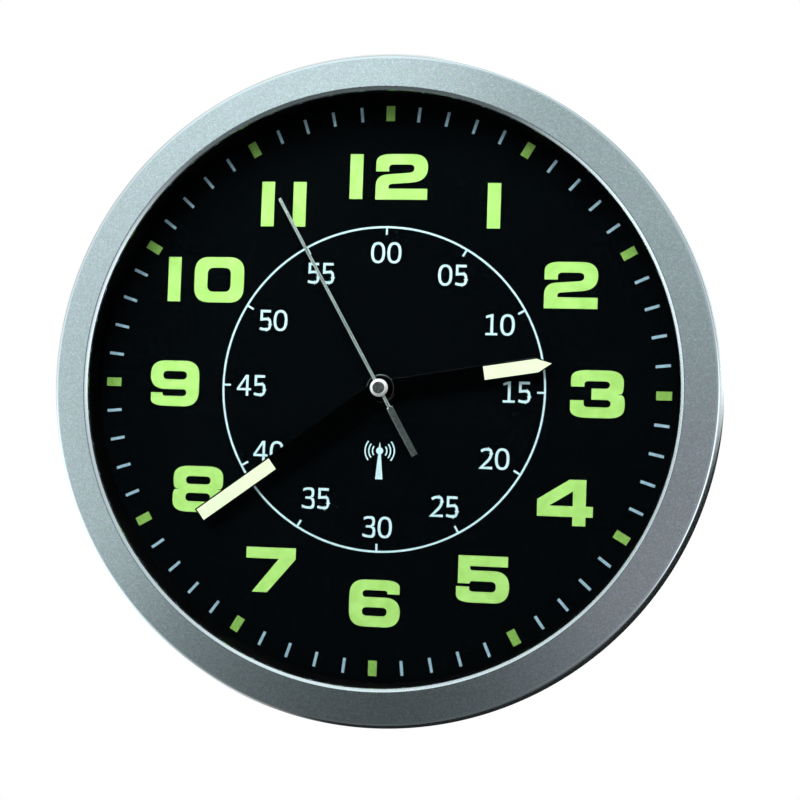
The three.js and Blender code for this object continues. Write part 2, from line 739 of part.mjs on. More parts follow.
// The cap is a dome on a short rim
function makeSecondCap() {
  const base = secondHandBottom + HAND_THICKNESS + TOUCH_GAP / 2;
  const profile = [[0, base], [CAP_RADIUS, base], [CAP_RADIUS, base + CAP_RIM]];
  const steps = 5;
  for (let i = 1; i <= steps; i += 1) {
    const turn = (Math.PI / 2) * (i / steps);
    profile.push([CAP_RADIUS * Math.cos(turn), base + CAP_RIM + CAP_DOME * Math.sin(turn)]);
  }
  profile[profile.length - 1][0] = 0;
  return turned(profile);
}

// Toothed wheels: thin teeth leave backlash, as in a plastic clock train

function toothOutline(teeth, gearModule, phase) {
  const pitch = (teeth * gearModule) / 2;
  const isPinion = teeth <= 12;
  const root = pitch - 1.25 * gearModule;
  const tip = pitch + (isPinion ? 0.75 : 0.85) * gearModule;
  const half = (Math.PI * gearModule) / 4;
  const rootTurn = (half * (isPinion ? 0.62 : 1)) / root;
  const tipTurn = (half * TOOTH_BACKLASH_SHARE) / tip;
  const corners = [];
  for (let i = 0; i < teeth; i += 1) {
    const middle = phase + (i * 2 * Math.PI) / teeth;
    [[root, -rootTurn], [tip, -tipTurn], [tip, tipTurn], [root, rootTurn]].forEach(([radius, turn]) => {
      corners.push([radius * Math.cos(middle + turn), radius * Math.sin(middle + turn)]);
    });
  }
  return rounded(corners);
}

const toothed = (teeth, gearModule, phase, layer) => {
  return plate(toothOutline(teeth, gearModule, phase), layerBottom(layer), layerTop(layer));
};

// The phase that puts a gap of the next wheel over a tooth of this one, along a direction
function meshed(teeth, phase, degrees, nextTeeth) {
  const line = THREE.MathUtils.degToRad(degrees);
  return line + Math.PI + ((line - phase) * teeth - Math.PI) / nextTeeth;
}

const centreDistance = (teeth, otherTeeth, gearModule) => ((teeth + otherTeeth) * gearModule) / 2;

const step = ([x, y], distance, degrees) => {
  const [dx, dy] = polar(distance, degrees);
  return [x + dx, y + dy];
};

const centre = [0, 0];
const motionCentre = step(
  centre, centreDistance(MOTION_WHEEL_TEETH, MINUTE_PINION_TEETH, MOTION_MODULE), MOTION_DIRECTION,
);
const minuteInner = step(
  centre, centreDistance(MINUTE_WHEEL_TEETH, LEAVES, MINUTE_MODULE), MINUTE_TRAIN_DIRECTION,
);
const minuteOuter = step(
  minuteInner, centreDistance(TRAIN_WHEEL_TEETH, LEAVES, TRAIN_MODULE), MINUTE_OUTER_DIRECTION,
);
const minuteRotorCentre = step(
  minuteOuter, centreDistance(TRAIN_WHEEL_TEETH, LEAVES, ROTOR_MODULE), MINUTE_ROTOR_DIRECTION,
);
const secondInner = step(
  centre, centreDistance(SECOND_WHEEL_TEETH, LEAVES, TRAIN_MODULE), SECOND_TRAIN_DIRECTION,
);
const secondRotorCentre = step(
  secondInner, centreDistance(SECOND_REDUCTION_TEETH, LEAVES, ROTOR_MODULE), SECOND_ROTOR_DIRECTION,
);

// Phases, each counted in its wheel's own frame at rest
const minutePinionPhase = 0;
const motionWheelPhase = meshed(
  MINUTE_PINION_TEETH, minutePinionPhase, MOTION_DIRECTION, MOTION_WHEEL_TEETH,
);
const motionPinionPhase = 0;
const hourWheelPhase = meshed(
  MOTION_PINION_TEETH, motionPinionPhase, MOTION_DIRECTION + 180, HOUR_WHEEL_TEETH,
);
const minuteWheelPhase = 0;
const minuteInnerPinionPhase = meshed(MINUTE_WHEEL_TEETH, minuteWheelPhase, MINUTE_TRAIN_DIRECTION, LEAVES);
const minuteInnerWheelPhase = 0;
const minuteOuterPinionPhase = meshed(
  TRAIN_WHEEL_TEETH, minuteInnerWheelPhase, MINUTE_OUTER_DIRECTION, LEAVES,
);
const minuteOuterWheelPhase = 0;
const minuteRotorPhase = meshed(TRAIN_WHEEL_TEETH, minuteOuterWheelPhase, MINUTE_ROTOR_DIRECTION, LEAVES);
const secondWheelPhase = 0;
const secondInnerPinionPhase = meshed(SECOND_WHEEL_TEETH, secondWheelPhase, SECOND_TRAIN_DIRECTION, LEAVES);
const secondInnerWheelPhase = 0;
const secondRotorPhase = meshed(
  SECOND_REDUCTION_TEETH, secondInnerWheelPhase, SECOND_ROTOR_DIRECTION, LEAVES,
);

// An arbor with a thin pivot at each end
function arbor(frontLayerTop, backLayerBottom, radius = ARBOR_RADIUS) {
  const frontPivot = frontLayerTop + WHEEL_THICKNESS / 2;
  const backPivot = backLayerBottom - WHEEL_THICKNESS / 2;
  return join([
    rod(radius, backLayerBottom, frontLayerTop, 0, 0, PIVOT_SEGMENTS),
    rod(PIVOT_RADIUS, backPivot, frontPivot, 0, 0, PIVOT_SEGMENTS),
  ]);
}

// The inner faces of the plates that an arbor's shoulders run between
const pivotHoleRadius = PIVOT_RADIUS + PIVOT_PLAY;
const belowFrontWall = frontWallBack - TOUCH_GAP;
const aboveTrainPlate = layerTop(TRAIN_PLATE_LAYER) + TOUCH_GAP;
const belowTrainPlate = layerBottom(TRAIN_PLATE_LAYER) - TOUCH_GAP;
const aboveBridge = layerTop(BRIDGE_LAYER) + TOUCH_GAP;

function makeHourWheel() {
  const wheel = toothed(HOUR_WHEEL_TEETH, HOUR_MODULE, hourWheelPhase, HOUR_LAYER);
  const tube = rod(hourPipeRadius, layerBottom(HOUR_LAYER), hourHandBottom + HAND_THICKNESS + TOUCH_GAP);
  const bore = rod(hourPipeBore, layerBottom(HOUR_LAYER) - 1, hourHandBottom + HAND_THICKNESS + 1);
  return cut(join([wheel, tube]), [bore]);
}

function makeMinuteWheel() {
  const wheel = toothed(MINUTE_WHEEL_TEETH, MINUTE_MODULE, minuteWheelPhase, MINUTE_LAYER);
  const pinion = toothed(MINUTE_PINION_TEETH, MOTION_MODULE, minutePinionPhase, MOTION_LAYER);
  const top = minuteHandBottom + HAND_THICKNESS + TOUCH_GAP;
  const tube = rod(minutePipeRadius, layerBottom(MINUTE_LAYER), top);
  const bore = rod(minutePipeBore, layerBottom(MINUTE_LAYER) - 1, top + 1);
  return cut(join([wheel, pinion, tube]), [bore]);
}

function makeSecondWheel() {
  const wheel = toothed(SECOND_WHEEL_TEETH, TRAIN_MODULE, secondWheelPhase, SECOND_LAYER);
  const top = secondHandBottom + HAND_THICKNESS - 0.2 - TOUCH_GAP;
  const shaft = rod(SECOND_ARBOR_RADIUS, aboveBridge, top, 0, 0, PIVOT_SEGMENTS);
  const pivot = rod(PIVOT_RADIUS, aboveBridge - WHEEL_THICKNESS / 2, aboveBridge + 1, 0, 0, PIVOT_SEGMENTS);
  return join([wheel, shaft, pivot]);
}

function makeMotionWheel() {
  return join([
    toothed(MOTION_WHEEL_TEETH, MOTION_MODULE, motionWheelPhase, MOTION_LAYER),
    toothed(MOTION_PINION_TEETH, HOUR_MODULE, motionPinionPhase, HOUR_LAYER),
    arbor(belowFrontWall, aboveTrainPlate),
  ]);
}

function makeMinuteInnerWheel() {
  return join([
    toothed(LEAVES, MINUTE_MODULE, minuteInnerPinionPhase, MINUTE_LAYER),
    toothed(TRAIN_WHEEL_TEETH, TRAIN_MODULE, minuteInnerWheelPhase, REDUCTION_LAYER),
    arbor(belowTrainPlate, aboveBridge),
  ]);
}

function makeMinuteOuterWheel() {
  return join([
    toothed(LEAVES, TRAIN_MODULE, minuteOuterPinionPhase, REDUCTION_LAYER),
    toothed(TRAIN_WHEEL_TEETH, ROTOR_MODULE, minuteOuterWheelPhase, SECOND_LAYER),
    arbor(belowTrainPlate, aboveBridge),
  ]);
}

function makeSecondInnerWheel() {
  return join([
    toothed(LEAVES, TRAIN_MODULE, secondInnerPinionPhase, SECOND_LAYER),
    toothed(SECOND_REDUCTION_TEETH, ROTOR_MODULE, secondInnerWheelPhase, REDUCTION_LAYER),
    arbor(belowTrainPlate, aboveBridge),
  ]);
}

function makeRotor(pinionLayer, phase) {
  const bossFront = rearWallFront + ROTOR_BOSS_HEIGHT;
  return join([
    toothed(LEAVES, ROTOR_MODULE, phase, pinionLayer),
    arbor(belowTrainPlate, bossFront + TOUCH_GAP),
    rod(MAGNET_RADIUS, statorMiddle - MAGNET_THICKNESS / 2, statorMiddle + MAGNET_THICKNESS / 2),
  ]);
}

// Stator: a flat frame with a round window for the magnet and a bar through the coil

function makeStator([x, y]) {
  const left = x - STATOR_HALF_WIDTH;
  const right = x + STATOR_HALF_WIDTH;
  const window = MAGNET_RADIUS + MAGNET_GAP;
  const low = y - STATOR_BAR / 2;
  const high = coilHeight + STATOR_BAR / 2;
  const bottom = statorTop - STATOR_THICKNESS;
  const frame = plate(rectangle(left, right, low, high), bottom, statorTop);
  const opening = block(
    left + STATOR_BAR, right - STATOR_BAR, low + STATOR_BAR, high - STATOR_BAR, bottom - 1, statorTop + 1,
  );
  const ring = rod(window + STATOR_RING, bottom, statorTop, x, y);
  const hole = rod(window, bottom - 1, statorTop + 1, x, y);
  return cut(join([cut(frame, [opening]), ring]), [hole]);
}

// Coil: a rounded winding along X with a slot through it for the stator's bar

function makeCoil(x) {
  const halfDepth = COIL_DEPTH / 2;
  const halfWidth = COIL_WIDTH / 2;
  const shape = roundedBox(-halfDepth, halfDepth, -halfWidth, halfWidth, COIL_CORNER);
  const slotDepth = STATOR_THICKNESS / 2 + RUNNING_GAP;
  const slotWidth = STATOR_BAR / 2 + RUNNING_GAP;
  shape.holes = [roundedBox(-slotDepth, slotDepth, -slotWidth, slotWidth, 0, THREE.Path)];
  const geometry = new THREE.ExtrudeGeometry(shape, {
    depth: COIL_LENGTH, bevelEnabled: false, curveSegments: WINDOW_ARC_STEPS,
  });
  geometry.rotateY(Math.PI / 2);
  geometry.translate(x - COIL_LENGTH / 2, coilHeight, statorMiddle);
  return solid(geometry);
}

// Movement layout, seen from the front, upwards and downwards from the hands' axis
const coilHeight = BRIDGE_RISE + COIL_GAP + COIL_WIDTH / 2;
const trainPlateTop = coilHeight + COIL_WIDTH / 2 + TRAIN_PLATE_MARGIN;
const ferriteHeight = trainPlateTop + FERRITE_GAP + ANTENNA_COIL_RADIUS;
const cavityTop = ferriteHeight + ANTENNA_COIL_RADIUS + HOUSING_TOP_GAP;
const housingTop = cavityTop + HOUSING_WALL;
const boardHigh = -PLATE_DROP - BOARD_GAP;
const boardLow = boardHigh - BOARD_HEIGHT;
const cavityBottom = boardLow - BOARD_GAP;
const bayTop = cavityBottom - HOUSING_WALL;
const batteryHeight = bayTop - batteryBayDepth / 2;
const bayBottom = bayTop - batteryBayDepth;
const housingBottom = bayBottom - HOUSING_WALL;
const buttonHeight = (boardLow + boardHigh) / 2;

// and sideways
const bayHalfWidth = BATTERY_LENGTH / 2 + CONTACT_SPACE;
const housingHalfWidth = bayHalfWidth + BAY_END_WALL;
const cavityHalfWidth = housingHalfWidth - HOUSING_WALL;
const boardHalfWidth = bayHalfWidth - TOUCH_GAP - CONTACT_STRIP - BOARD_EDGE_GAP;
const plateLeft = minuteRotorCentre[0] - STATOR_HALF_WIDTH - PLATE_SIDE_MARGIN;
const plateRight = secondRotorCentre[0] + STATOR_HALF_WIDTH + PLATE_SIDE_MARGIN;

// and backwards
const batteryDepth = movementBack + BAY_SIDE_GAP + BATTERY_RADIUS;
const ferriteDepth = frontWallBack - ANTENNA_COIL_RADIUS - LAYER_GAP;

function cornersInside(left, right, low, high, inset) {
  return [
    [left + inset, low + inset],
    [right - inset, low + inset],
    [left + inset, high - inset],
    [right - inset, high - inset],
  ];
}

const postPlaces = cornersInside(plateLeft, plateRight, -PLATE_DROP, BRIDGE_RISE, POST_INSET);
const boardPosts = cornersInside(-boardHalfWidth, boardHalfWidth, boardLow, boardHigh, BOARD_POST_INSET);

// Movement housings and plates

function cradle(x) {
  const half = FERRITE_RADIUS + CRADLE_WALL;
  const left = x - CRADLE_THICKNESS / 2;
  const right = x + CRADLE_THICKNESS / 2;
  const root = frontWallBack + WALL_OVERLAP;
  const wall = block(left, right, ferriteHeight - half, ferriteHeight + half, ferriteDepth, root);
  const notch = lyingRod(FERRITE_RADIUS + TOUCH_GAP, left - 1, right + 1, ferriteHeight, ferriteDepth);
  return cut(wall, [notch]);
}

function makeFrontHousing() {
  const gap = TOUCH_GAP;
  const outline = roundedBox(
    -cavityHalfWidth + gap, cavityHalfWidth - gap, cavityBottom + gap, cavityTop - gap,
    HOUSING_CORNER - HOUSING_WALL,
  );
  const wall = plate(outline, frontWallBack, movementFront, HOUSING_CORNER_STEPS);
  const tube = rod(tubeRadius, frontWallBack, tubeTop);
  const bore = rod(tubeBore, frontWallBack - 1, tubeTop + 1);
  const platePosts = postPlaces.map(([x, y]) => join([
    rod(POST_RADIUS, aboveTrainPlate, frontWallBack + WALL_OVERLAP, x, y, PIVOT_SEGMENTS),
    rod(POST_PIN_RADIUS, layerBottom(TRAIN_PLATE_LAYER), frontWallBack, x, y, PIVOT_SEGMENTS),
  ]));
  const boardSeats = boardPosts.map(([x, y]) => {
    return rod(POST_RADIUS, boardTop + TOUCH_GAP, frontWallBack + WALL_OVERLAP, x, y, PIVOT_SEGMENTS);
  });
  const [mx, my] = motionCentre;
  const pivotEnd = frontWallBack + FRONT_WALL / 2;
  const pivotHole = rod(pivotHoleRadius, frontWallBack - 1, pivotEnd, mx, my, PIVOT_SEGMENTS);
  const cradlePlace = ANTENNA_COIL_LENGTH / 2 + CRADLE_GAP + CRADLE_THICKNESS / 2;
  const cradles = [cradle(-cradlePlace), cradle(cradlePlace)];
  return cut(join([wall, tube, ...platePosts, ...boardSeats, ...cradles]), [bore, pivotHole]);
}

const buttonRadius = (name) => (name === 'reset' ? RESET_RADIUS : BUTTON_RADIUS);
const buttonNames = Object.keys(BUTTON_PLACES);

function makeRearHousing() {
  const outer = roundedBox(
    -housingHalfWidth, housingHalfWidth, housingBottom, housingTop, HOUSING_CORNER,
  );
  const inner = roundedBox(
    -cavityHalfWidth, cavityHalfWidth, cavityBottom, cavityTop, HOUSING_CORNER - HOUSING_WALL,
  );
  const cavity = plate(inner, rearWallFront, movementFront + 1, HOUSING_CORNER_STEPS);
  const bay = block(
    -bayHalfWidth, bayHalfWidth, bayBottom, bayTop, movementBack - 1, movementBack + batteryBayDepth,
  );
  const bosses = [minuteRotorCentre, secondRotorCentre].map(([x, y]) => {
    const front = rearWallFront + ROTOR_BOSS_HEIGHT;
    return cut(
      rod(ROTOR_BOSS_RADIUS, rearWallFront - WALL_OVERLAP, front, x, y, PIVOT_SEGMENTS),
      [rod(pivotHoleRadius, rearWallFront - WALL_OVERLAP / 2, front + 1, x, y, PIVOT_SEGMENTS)],
    );
  });
  const buttonHoles = buttonNames.map((name) => {
    const radius = buttonRadius(name) + RUNNING_GAP;
    return rod(radius, movementBack - 1, rearWallFront + 1, BUTTON_PLACES[name], buttonHeight);
  });
  const tabSlots = [-1, 1].map((side) => tabSlot(side));
  const shell = cut(plate(outer, movementBack, movementFront, HOUSING_CORNER_STEPS), [cavity, bay]);
  return cut(join([shell, ...bosses]), [...buttonHoles, ...tabSlots]);
}

function platePivots(body, bottom, top, places) {
  const holes = places.map(([x, y]) => rod(pivotHoleRadius, bottom - 1, top + 1, x, y, PIVOT_SEGMENTS));
  return cut(body, holes);
}

function makeTrainPlate() {
  const bottom = layerBottom(TRAIN_PLATE_LAYER);
  const top = layerTop(TRAIN_PLATE_LAYER);
  const outline = roundedBox(plateLeft, plateRight, -PLATE_DROP, trainPlateTop, 2);
  const pillars = postPlaces.map(([x, y]) => join([
    rod(POST_RADIUS, aboveBridge, bottom + WALL_OVERLAP, x, y, PIVOT_SEGMENTS),
    rod(POST_PIN_RADIUS, layerBottom(BRIDGE_LAYER), aboveBridge + 1, x, y, PIVOT_SEGMENTS),
  ]));
  const pinHoles = postPlaces.map(([x, y]) => {
    return rod(POST_PIN_RADIUS + TOUCH_GAP, bottom - TOUCH_GAP, top + 1, x, y, PIVOT_SEGMENTS);
  });
  const pinionTip = (MINUTE_PINION_TEETH * MOTION_MODULE) / 2 + MOTION_MODULE;
  const pinionHole = rod(pinionTip + RUNNING_GAP, bottom - 1, top + 1);
  const body = cut(join([plate(outline, bottom, top), ...pillars]), [pinionHole, ...pinHoles]);
  const places = [motionCentre, minuteInner, minuteOuter, minuteRotorCentre, secondInner, secondRotorCentre];
  return platePivots(body, bottom, top, places);
}

function makeTrainBridge() {
  const bottom = layerBottom(BRIDGE_LAYER);
  const top = layerTop(BRIDGE_LAYER);
  const outline = roundedBox(plateLeft, plateRight, -PLATE_DROP, BRIDGE_RISE, 2);
  const pinHoles = postPlaces.map(([x, y]) => {
    return rod(POST_PIN_RADIUS + TOUCH_GAP, bottom - 1, top + 1, x, y, PIVOT_SEGMENTS);
  });
  const magnetHoles = [minuteRotorCentre, secondRotorCentre].map(([x, y]) => {
    return rod(MAGNET_RADIUS + MAGNET_GAP, bottom - 1, top + 1, x, y);
  });
  const body = cut(plate(outline, bottom, top), [...pinHoles, ...magnetHoles]);
  return platePivots(body, bottom, top, [centre, minuteInner, minuteOuter, secondInner]);
}

// Receiver

function makeFerriteRod() {
  const half = FERRITE_LENGTH / 2;
  return lyingRod(FERRITE_RADIUS, -half, half, ferriteHeight, ferriteDepth);
}

function makeAntennaCoil() {
  const half = ANTENNA_COIL_LENGTH / 2;
  const winding = lyingRod(ANTENNA_COIL_RADIUS, -half, half, ferriteHeight, ferriteDepth);
  const bore = lyingRod(FERRITE_RADIUS + TOUCH_GAP, -half - 1, half + 1, ferriteHeight, ferriteDepth);
  return cut(winding, [bore]);
}

// The board carries the three switches that the buttons press

const switchTop = boardBottom;
const flangeBack = rearWallFront + TOUCH_GAP;
const flangeFront = flangeBack + BUTTON_FLANGE_THICKNESS;
const plungerEnd = flangeFront + BUTTON_TRAVEL + TOUCH_GAP;
const switchBodyEnd = plungerEnd + SWITCH_PLUNGER_HEIGHT;

function makeBoard() {
  const outline = rectangle(-boardHalfWidth, boardHalfWidth, boardLow, boardHigh);
  const parts = [plate(outline, boardBottom, boardTop)];
  buttonNames.forEach((name) => {
    const x = BUTTON_PLACES[name];
    const half = SWITCH_SIDE / 2;
    const root = switchTop + BOARD_THICKNESS / 2;
    parts.push(block(x - half, x + half, buttonHeight - half, buttonHeight + half, switchBodyEnd, root));
    parts.push(rod(SWITCH_PLUNGER_RADIUS, plungerEnd, root, x, buttonHeight, PIVOT_SEGMENTS));
  });
  return join(parts);
}

function makeChip() {
  const y = (boardLow + boardHigh) / 2;
  const bottom = boardTop + TOUCH_GAP;
  const half = CHIP_SIDE / 2;
  return block(CHIP_PLACE - half, CHIP_PLACE + half, y - half, y + half, bottom, bottom + CHIP_HEIGHT);
}

function makeCrystal(side) {
  const y = (boardLow + boardHigh) / 2 + side * CRYSTAL_SPREAD;
  const z = boardTop + TOUCH_GAP + CRYSTAL_RADIUS;
  const half = CRYSTAL_LENGTH / 2;
  return lyingRod(CRYSTAL_RADIUS, CRYSTAL_PLACE - half, CRYSTAL_PLACE + half, y, z, PIVOT_SEGMENTS);
}

function makeButton(name) {
  const radius = buttonRadius(name);
  const end = movementBack - (name === 'reset' ? -HOUSING_WALL / 4 : BUTTON_PROUD);
  return join([
    rod(radius, end, flangeFront, 0, 0, SHAFT_SEGMENTS),
    rod(radius + BUTTON_FLANGE, flangeBack, flangeFront, 0, 0, SHAFT_SEGMENTS),
  ]);
}

// Battery and its contacts

function makeBattery() {
  const half = BATTERY_LENGTH / 2;
  const shoulder = half - BATTERY_NUB_LENGTH;
  const profile = [
    [0, -half], [BATTERY_RADIUS - 0.6, -half], [BATTERY_RADIUS, -half + 0.6],
    [BATTERY_RADIUS, shoulder - 0.6], [BATTERY_RADIUS - 0.6, shoulder],
    [BATTERY_NUB_RADIUS, shoulder], [BATTERY_NUB_RADIUS, half], [0, half],
  ];
  const points = profile.map(([radius, along]) => new THREE.Vector2(radius, along));
  const geometry = new THREE.LatheGeometry(points, 2 * SHAFT_SEGMENTS);
  geometry.rotateZ(-Math.PI / 2);
  geometry.translate(0, batteryHeight, batteryDepth);
  return solid(geometry);
}

// A tab at the strip's end goes through a slot in the bay's wall to the board's edge
const tabOuter = bayHalfWidth - TOUCH_GAP;
const tabDepth = boardTop - BOARD_THICKNESS / 2;

function tabSlot(side) {
  const outer = side * (tabOuter + TOUCH_GAP);
  const inner = side * (tabOuter - CONTACT_STRIP - TOUCH_GAP);
  const reach = CONTACT_TAB_WIDTH / 2 + TOUCH_GAP;
  return block(
    Math.min(outer, inner), Math.max(outer, inner), bayTop - 1, cavityBottom + 1,
    tabDepth - reach, tabDepth + reach,
  );
}

function contactStrip(side) {
  const outer = side * tabOuter;
  const inner = side * (tabOuter - CONTACT_STRIP);
  const left = Math.min(outer, inner);
  const right = Math.max(outer, inner);
  const low = batteryHeight - CONTACT_WIDTH / 2;
  const half = BATTERY_RADIUS - 1;
  const wall = block(left, right, low, low + CONTACT_WIDTH, batteryDepth - half, batteryDepth + half);
  const reach = CONTACT_TAB_WIDTH / 2;
  const tabEnd = bayTop + CONTACT_TAB_REACH;
  const tab = block(left, right, batteryHeight, tabEnd, tabDepth - reach, tabDepth + reach);
  return join([wall, tab]);
}

function makePositiveContact() {
  const face = tabOuter - CONTACT_STRIP;
  const end = BATTERY_LENGTH / 2 + TOUCH_GAP;
  const dimple = lyingRod(BATTERY_NUB_RADIUS - 0.5, end, face + CONTACT_STRIP / 2, batteryHeight, batteryDepth);
  return join([contactStrip(1), dimple]);
}

// The negative contact's leaf bows out to the battery's flat end
function makeNegativeContact() {
  const face = -tabOuter + CONTACT_STRIP / 2;
  const end = -BATTERY_LENGTH / 2 - TOUCH_GAP;
  const half = BATTERY_RADIUS - 1;
  const strip = CONTACT_STRIP;
  const shape = new THREE.Shape();
  shape.moveTo(face, half);
  shape.lineTo(end, strip);
  shape.lineTo(end, -strip);
  shape.lineTo(face, -half);
  shape.lineTo(face, -half + strip * 2);
  shape.lineTo(end - strip, 0);
  shape.lineTo(face, half - strip * 2);
  const geometry = new THREE.ExtrudeGeometry(shape, { depth: CONTACT_WIDTH, bevelEnabled: false });
  geometry.rotateX(-Math.PI / 2);
  geometry.translate(0, batteryHeight - CONTACT_WIDTH / 2, batteryDepth);
  return join([contactStrip(-1), solid(geometry)]);
}

// Clamping hardware on the threaded tube

function makeRubberWasher() {
  return pipe(boreRadius + RUBBER_WASHER_RIM, boreRadius, movementFront + TOUCH_GAP, dialBack - TOUCH_GAP);
}

function makeSteelWasher() {
  return pipe(boreRadius + STEEL_WASHER_RIM, boreRadius, washerBottom, washerBottom + STEEL_WASHER_THICKNESS);
}

function makeNut() {
  const corner = (boreRadius + NUT_WALL) / Math.cos(Math.PI / 6);
  const hexagon = rod(corner, nutBottom, nutBottom + NUT_THICKNESS, 0, 0, 6);
  return cut(hexagon, [rod(boreRadius, nutBottom - 1, nutBottom + NUT_THICKNESS + 1)]);
}

// Back case

const keyholeCentre = NAIL_SEAT_HEIGHT - NAIL_SLOT_LENGTH;

function keyhole() {
  const bottom = BACK_RECESS - 1;
  const top = backPlateFront + RIB_HEIGHT + 1;
  const slot = block(-NAIL_SLOT_RADIUS, NAIL_SLOT_RADIUS, keyholeCentre, NAIL_SEAT_HEIGHT, bottom, top);
  return join([
    rod(NAIL_HEAD_RADIUS, bottom, top, 0, keyholeCentre, 2 * PIVOT_SEGMENTS),
    slot,
    rod(NAIL_SLOT_RADIUS, bottom, top, 0, NAIL_SEAT_HEIGHT, 2 * PIVOT_SEGMENTS),
  ]);
}

function makeBackCase() {
  const outer = skirtInner - RUNNING_GAP;
  const disc = rod(outer, BACK_RECESS, backPlateFront, 0, 0, RIM_SEGMENTS);
  const gap = WINDOW_GAP;
  const left = -housingHalfWidth - gap;
  const right = housingHalfWidth + gap;
  const low = housingBottom - gap;
  const high = housingTop + gap;
  const root = backPlateFront - WALL_OVERLAP;
  const wall = WINDOW_WALL;
  const collarOutline = roundedBox(
    left - wall, right + wall, low - wall, high + wall, HOUSING_CORNER + gap + wall,
  );
  const windowOutline = roundedBox(left, right, low, high, HOUSING_CORNER + gap);
  const collarTop = backPlateFront + WINDOW_WALL_HEIGHT;
  const collar = plate(collarOutline, root, collarTop, HOUSING_CORNER_STEPS);
  const window = plate(windowOutline, BACK_RECESS - 1, collarTop + 1, HOUSING_CORNER_STEPS);
  const seat = pipe(
    dialSeatRadius, dialSeatRadius - DIAL_SEAT_WALL, root, dialBack - TOUCH_GAP, RIM_SEGMENTS,
  );
  const ribs = [];
  for (let i = 0; i < RIB_COUNT; i += 1) {
    const direction = (i + 0.5) * (360 / RIB_COUNT);
    const reach = dialSeatRadius - DIAL_SEAT_WALL / 2;
    const rib = radialBar(reach / 2, direction, RIB_WALL, reach);
    ribs.push(plate(rib, root, backPlateFront + RIB_HEIGHT));
  }
  const screwHoles = screwPlaces().map(([x, y]) => {
    return rod(SCREW_SHANK_RADIUS + RUNNING_GAP, BACK_RECESS - 1, backPlateFront + 1, x, y, PIVOT_SEGMENTS);
  });
  return cut(join([disc, collar, seat, ...ribs]), [window, keyhole(), ...screwHoles]);
}

function makeCaseScrew() {
  const headTop = BACK_RECESS - TOUCH_GAP;
  const headEnd = headTop - SCREW_HEAD_HEIGHT;
  const head = rod(SCREW_HEAD_RADIUS, headEnd, headTop);
  const shank = rod(SCREW_SHANK_RADIUS, headTop - TOUCH_GAP, headTop + SCREW_LENGTH, 0, 0, PIVOT_SEGMENTS);
  const arm = SCREW_HEAD_RADIUS * 0.65;
  const half = SCREW_SLOT_WIDTH / 2;
  const slotTop = headEnd + SCREW_HEAD_HEIGHT / 2;
  const recess = join([
    block(-arm, arm, -half, half, headEnd - 1, slotTop),
    block(-half, half, -arm, arm, headEnd - 1, slotTop),
  ]);
  return cut(join([head, shank]), [recess]);
}

// Assembly

const clock = new THREE.Group();

function piece(name, body, finish, [x, y] = centre, turn = 0, parent = clock) {
  const mesh = body.getMesh();
  const geometry = new THREE.BufferGeometry();
  geometry.setAttribute('position', new THREE.Float32BufferAttribute(mesh.vertProperties, 3));
  geometry.setIndex(new THREE.BufferAttribute(mesh.triVerts, 1));
  geometry.computeVertexNormals();
  const node = new THREE.Mesh(geometry, finish);
  node.name = name;
  node.position.set(x, y, 0);
  node.rotation.z = turn;
  parent.add(node);
  return node;
}

const handTurn = (degrees) => -THREE.MathUtils.degToRad(degrees);

function addCase() {
  piece('bezel', makeBezel(), materials.silverPaint);
  piece('lens', makeLens(), materials.glass);
  piece('lens_seal', makeSeal(), materials.rubber);
  piece('dial_spacer_ring', makeSpacer(), materials.blackPlastic);
  piece('dial', makeDial(), materials.dialBlack);
  piece('back_case', makeBackCase(), materials.blackPlastic);
  screwPlaces().forEach((place, i) => {
    piece(`case_screw_${i + 1}`, makeCaseScrew(), materials.steel, place);
  });
}

function addHands() {
  piece('hour_hand', makeHourHand(), materials.handBlack, centre, handTurn(HOUR_ANGLE));
  piece('hour_hand_lume', lumeInsert(...hourLume), materials.lume, centre, handTurn(HOUR_ANGLE));
  piece('minute_hand', makeMinuteHand(), materials.handBlack, centre, handTurn(MINUTE_ANGLE));
  piece('minute_hand_lume', lumeInsert(...minuteLume), materials.lume, centre, handTurn(MINUTE_ANGLE));
  piece('second_hand', makeSecondHand(), materials.steel, centre, handTurn(SECOND_ANGLE));
  piece('second_hand_cap', makeSecondCap(), materials.chrome);
}

function addHardware() {
  piece('rubber_washer', makeRubberWasher(), materials.rubber);
  piece('steel_washer', makeSteelWasher(), materials.steel);
  piece('shaft_nut', makeNut(), materials.brass);
}

function addMovement() {
  piece('movement_front_housing', makeFrontHousing(), materials.blackPlastic);
  piece('movement_rear_housing', makeRearHousing(), materials.blackPlastic);
  piece('train_plate', makeTrainPlate(), materials.whitePlastic);
  piece('train_bridge', makeTrainBridge(), materials.whitePlastic);
  piece('hour_wheel', makeHourWheel(), materials.whitePlastic);
  piece('minute_wheel', makeMinuteWheel(), materials.whitePlastic);
  piece('second_wheel', makeSecondWheel(), materials.whitePlastic);
  piece('motion_work_wheel', makeMotionWheel(), materials.whitePlastic, motionCentre);
  piece('minute_inner_wheel', makeMinuteInnerWheel(), materials.whitePlastic, minuteInner);
  piece('minute_outer_wheel', makeMinuteOuterWheel(), materials.whitePlastic, minuteOuter);
  piece('second_inner_wheel', makeSecondInnerWheel(), materials.whitePlastic, secondInner);
  piece('minute_rotor', makeRotor(SECOND_LAYER, minuteRotorPhase), materials.magnet, minuteRotorCentre);
  piece('second_rotor', makeRotor(REDUCTION_LAYER, secondRotorPhase), materials.magnet, secondRotorCentre);
  piece('minute_stator', makeStator(minuteRotorCentre), materials.steel);
  piece('second_stator', makeStator(secondRotorCentre), materials.steel);
  piece('minute_coil', makeCoil(minuteRotorCentre[0]), materials.copper);
  piece('second_coil', makeCoil(secondRotorCentre[0]), materials.copper);
}

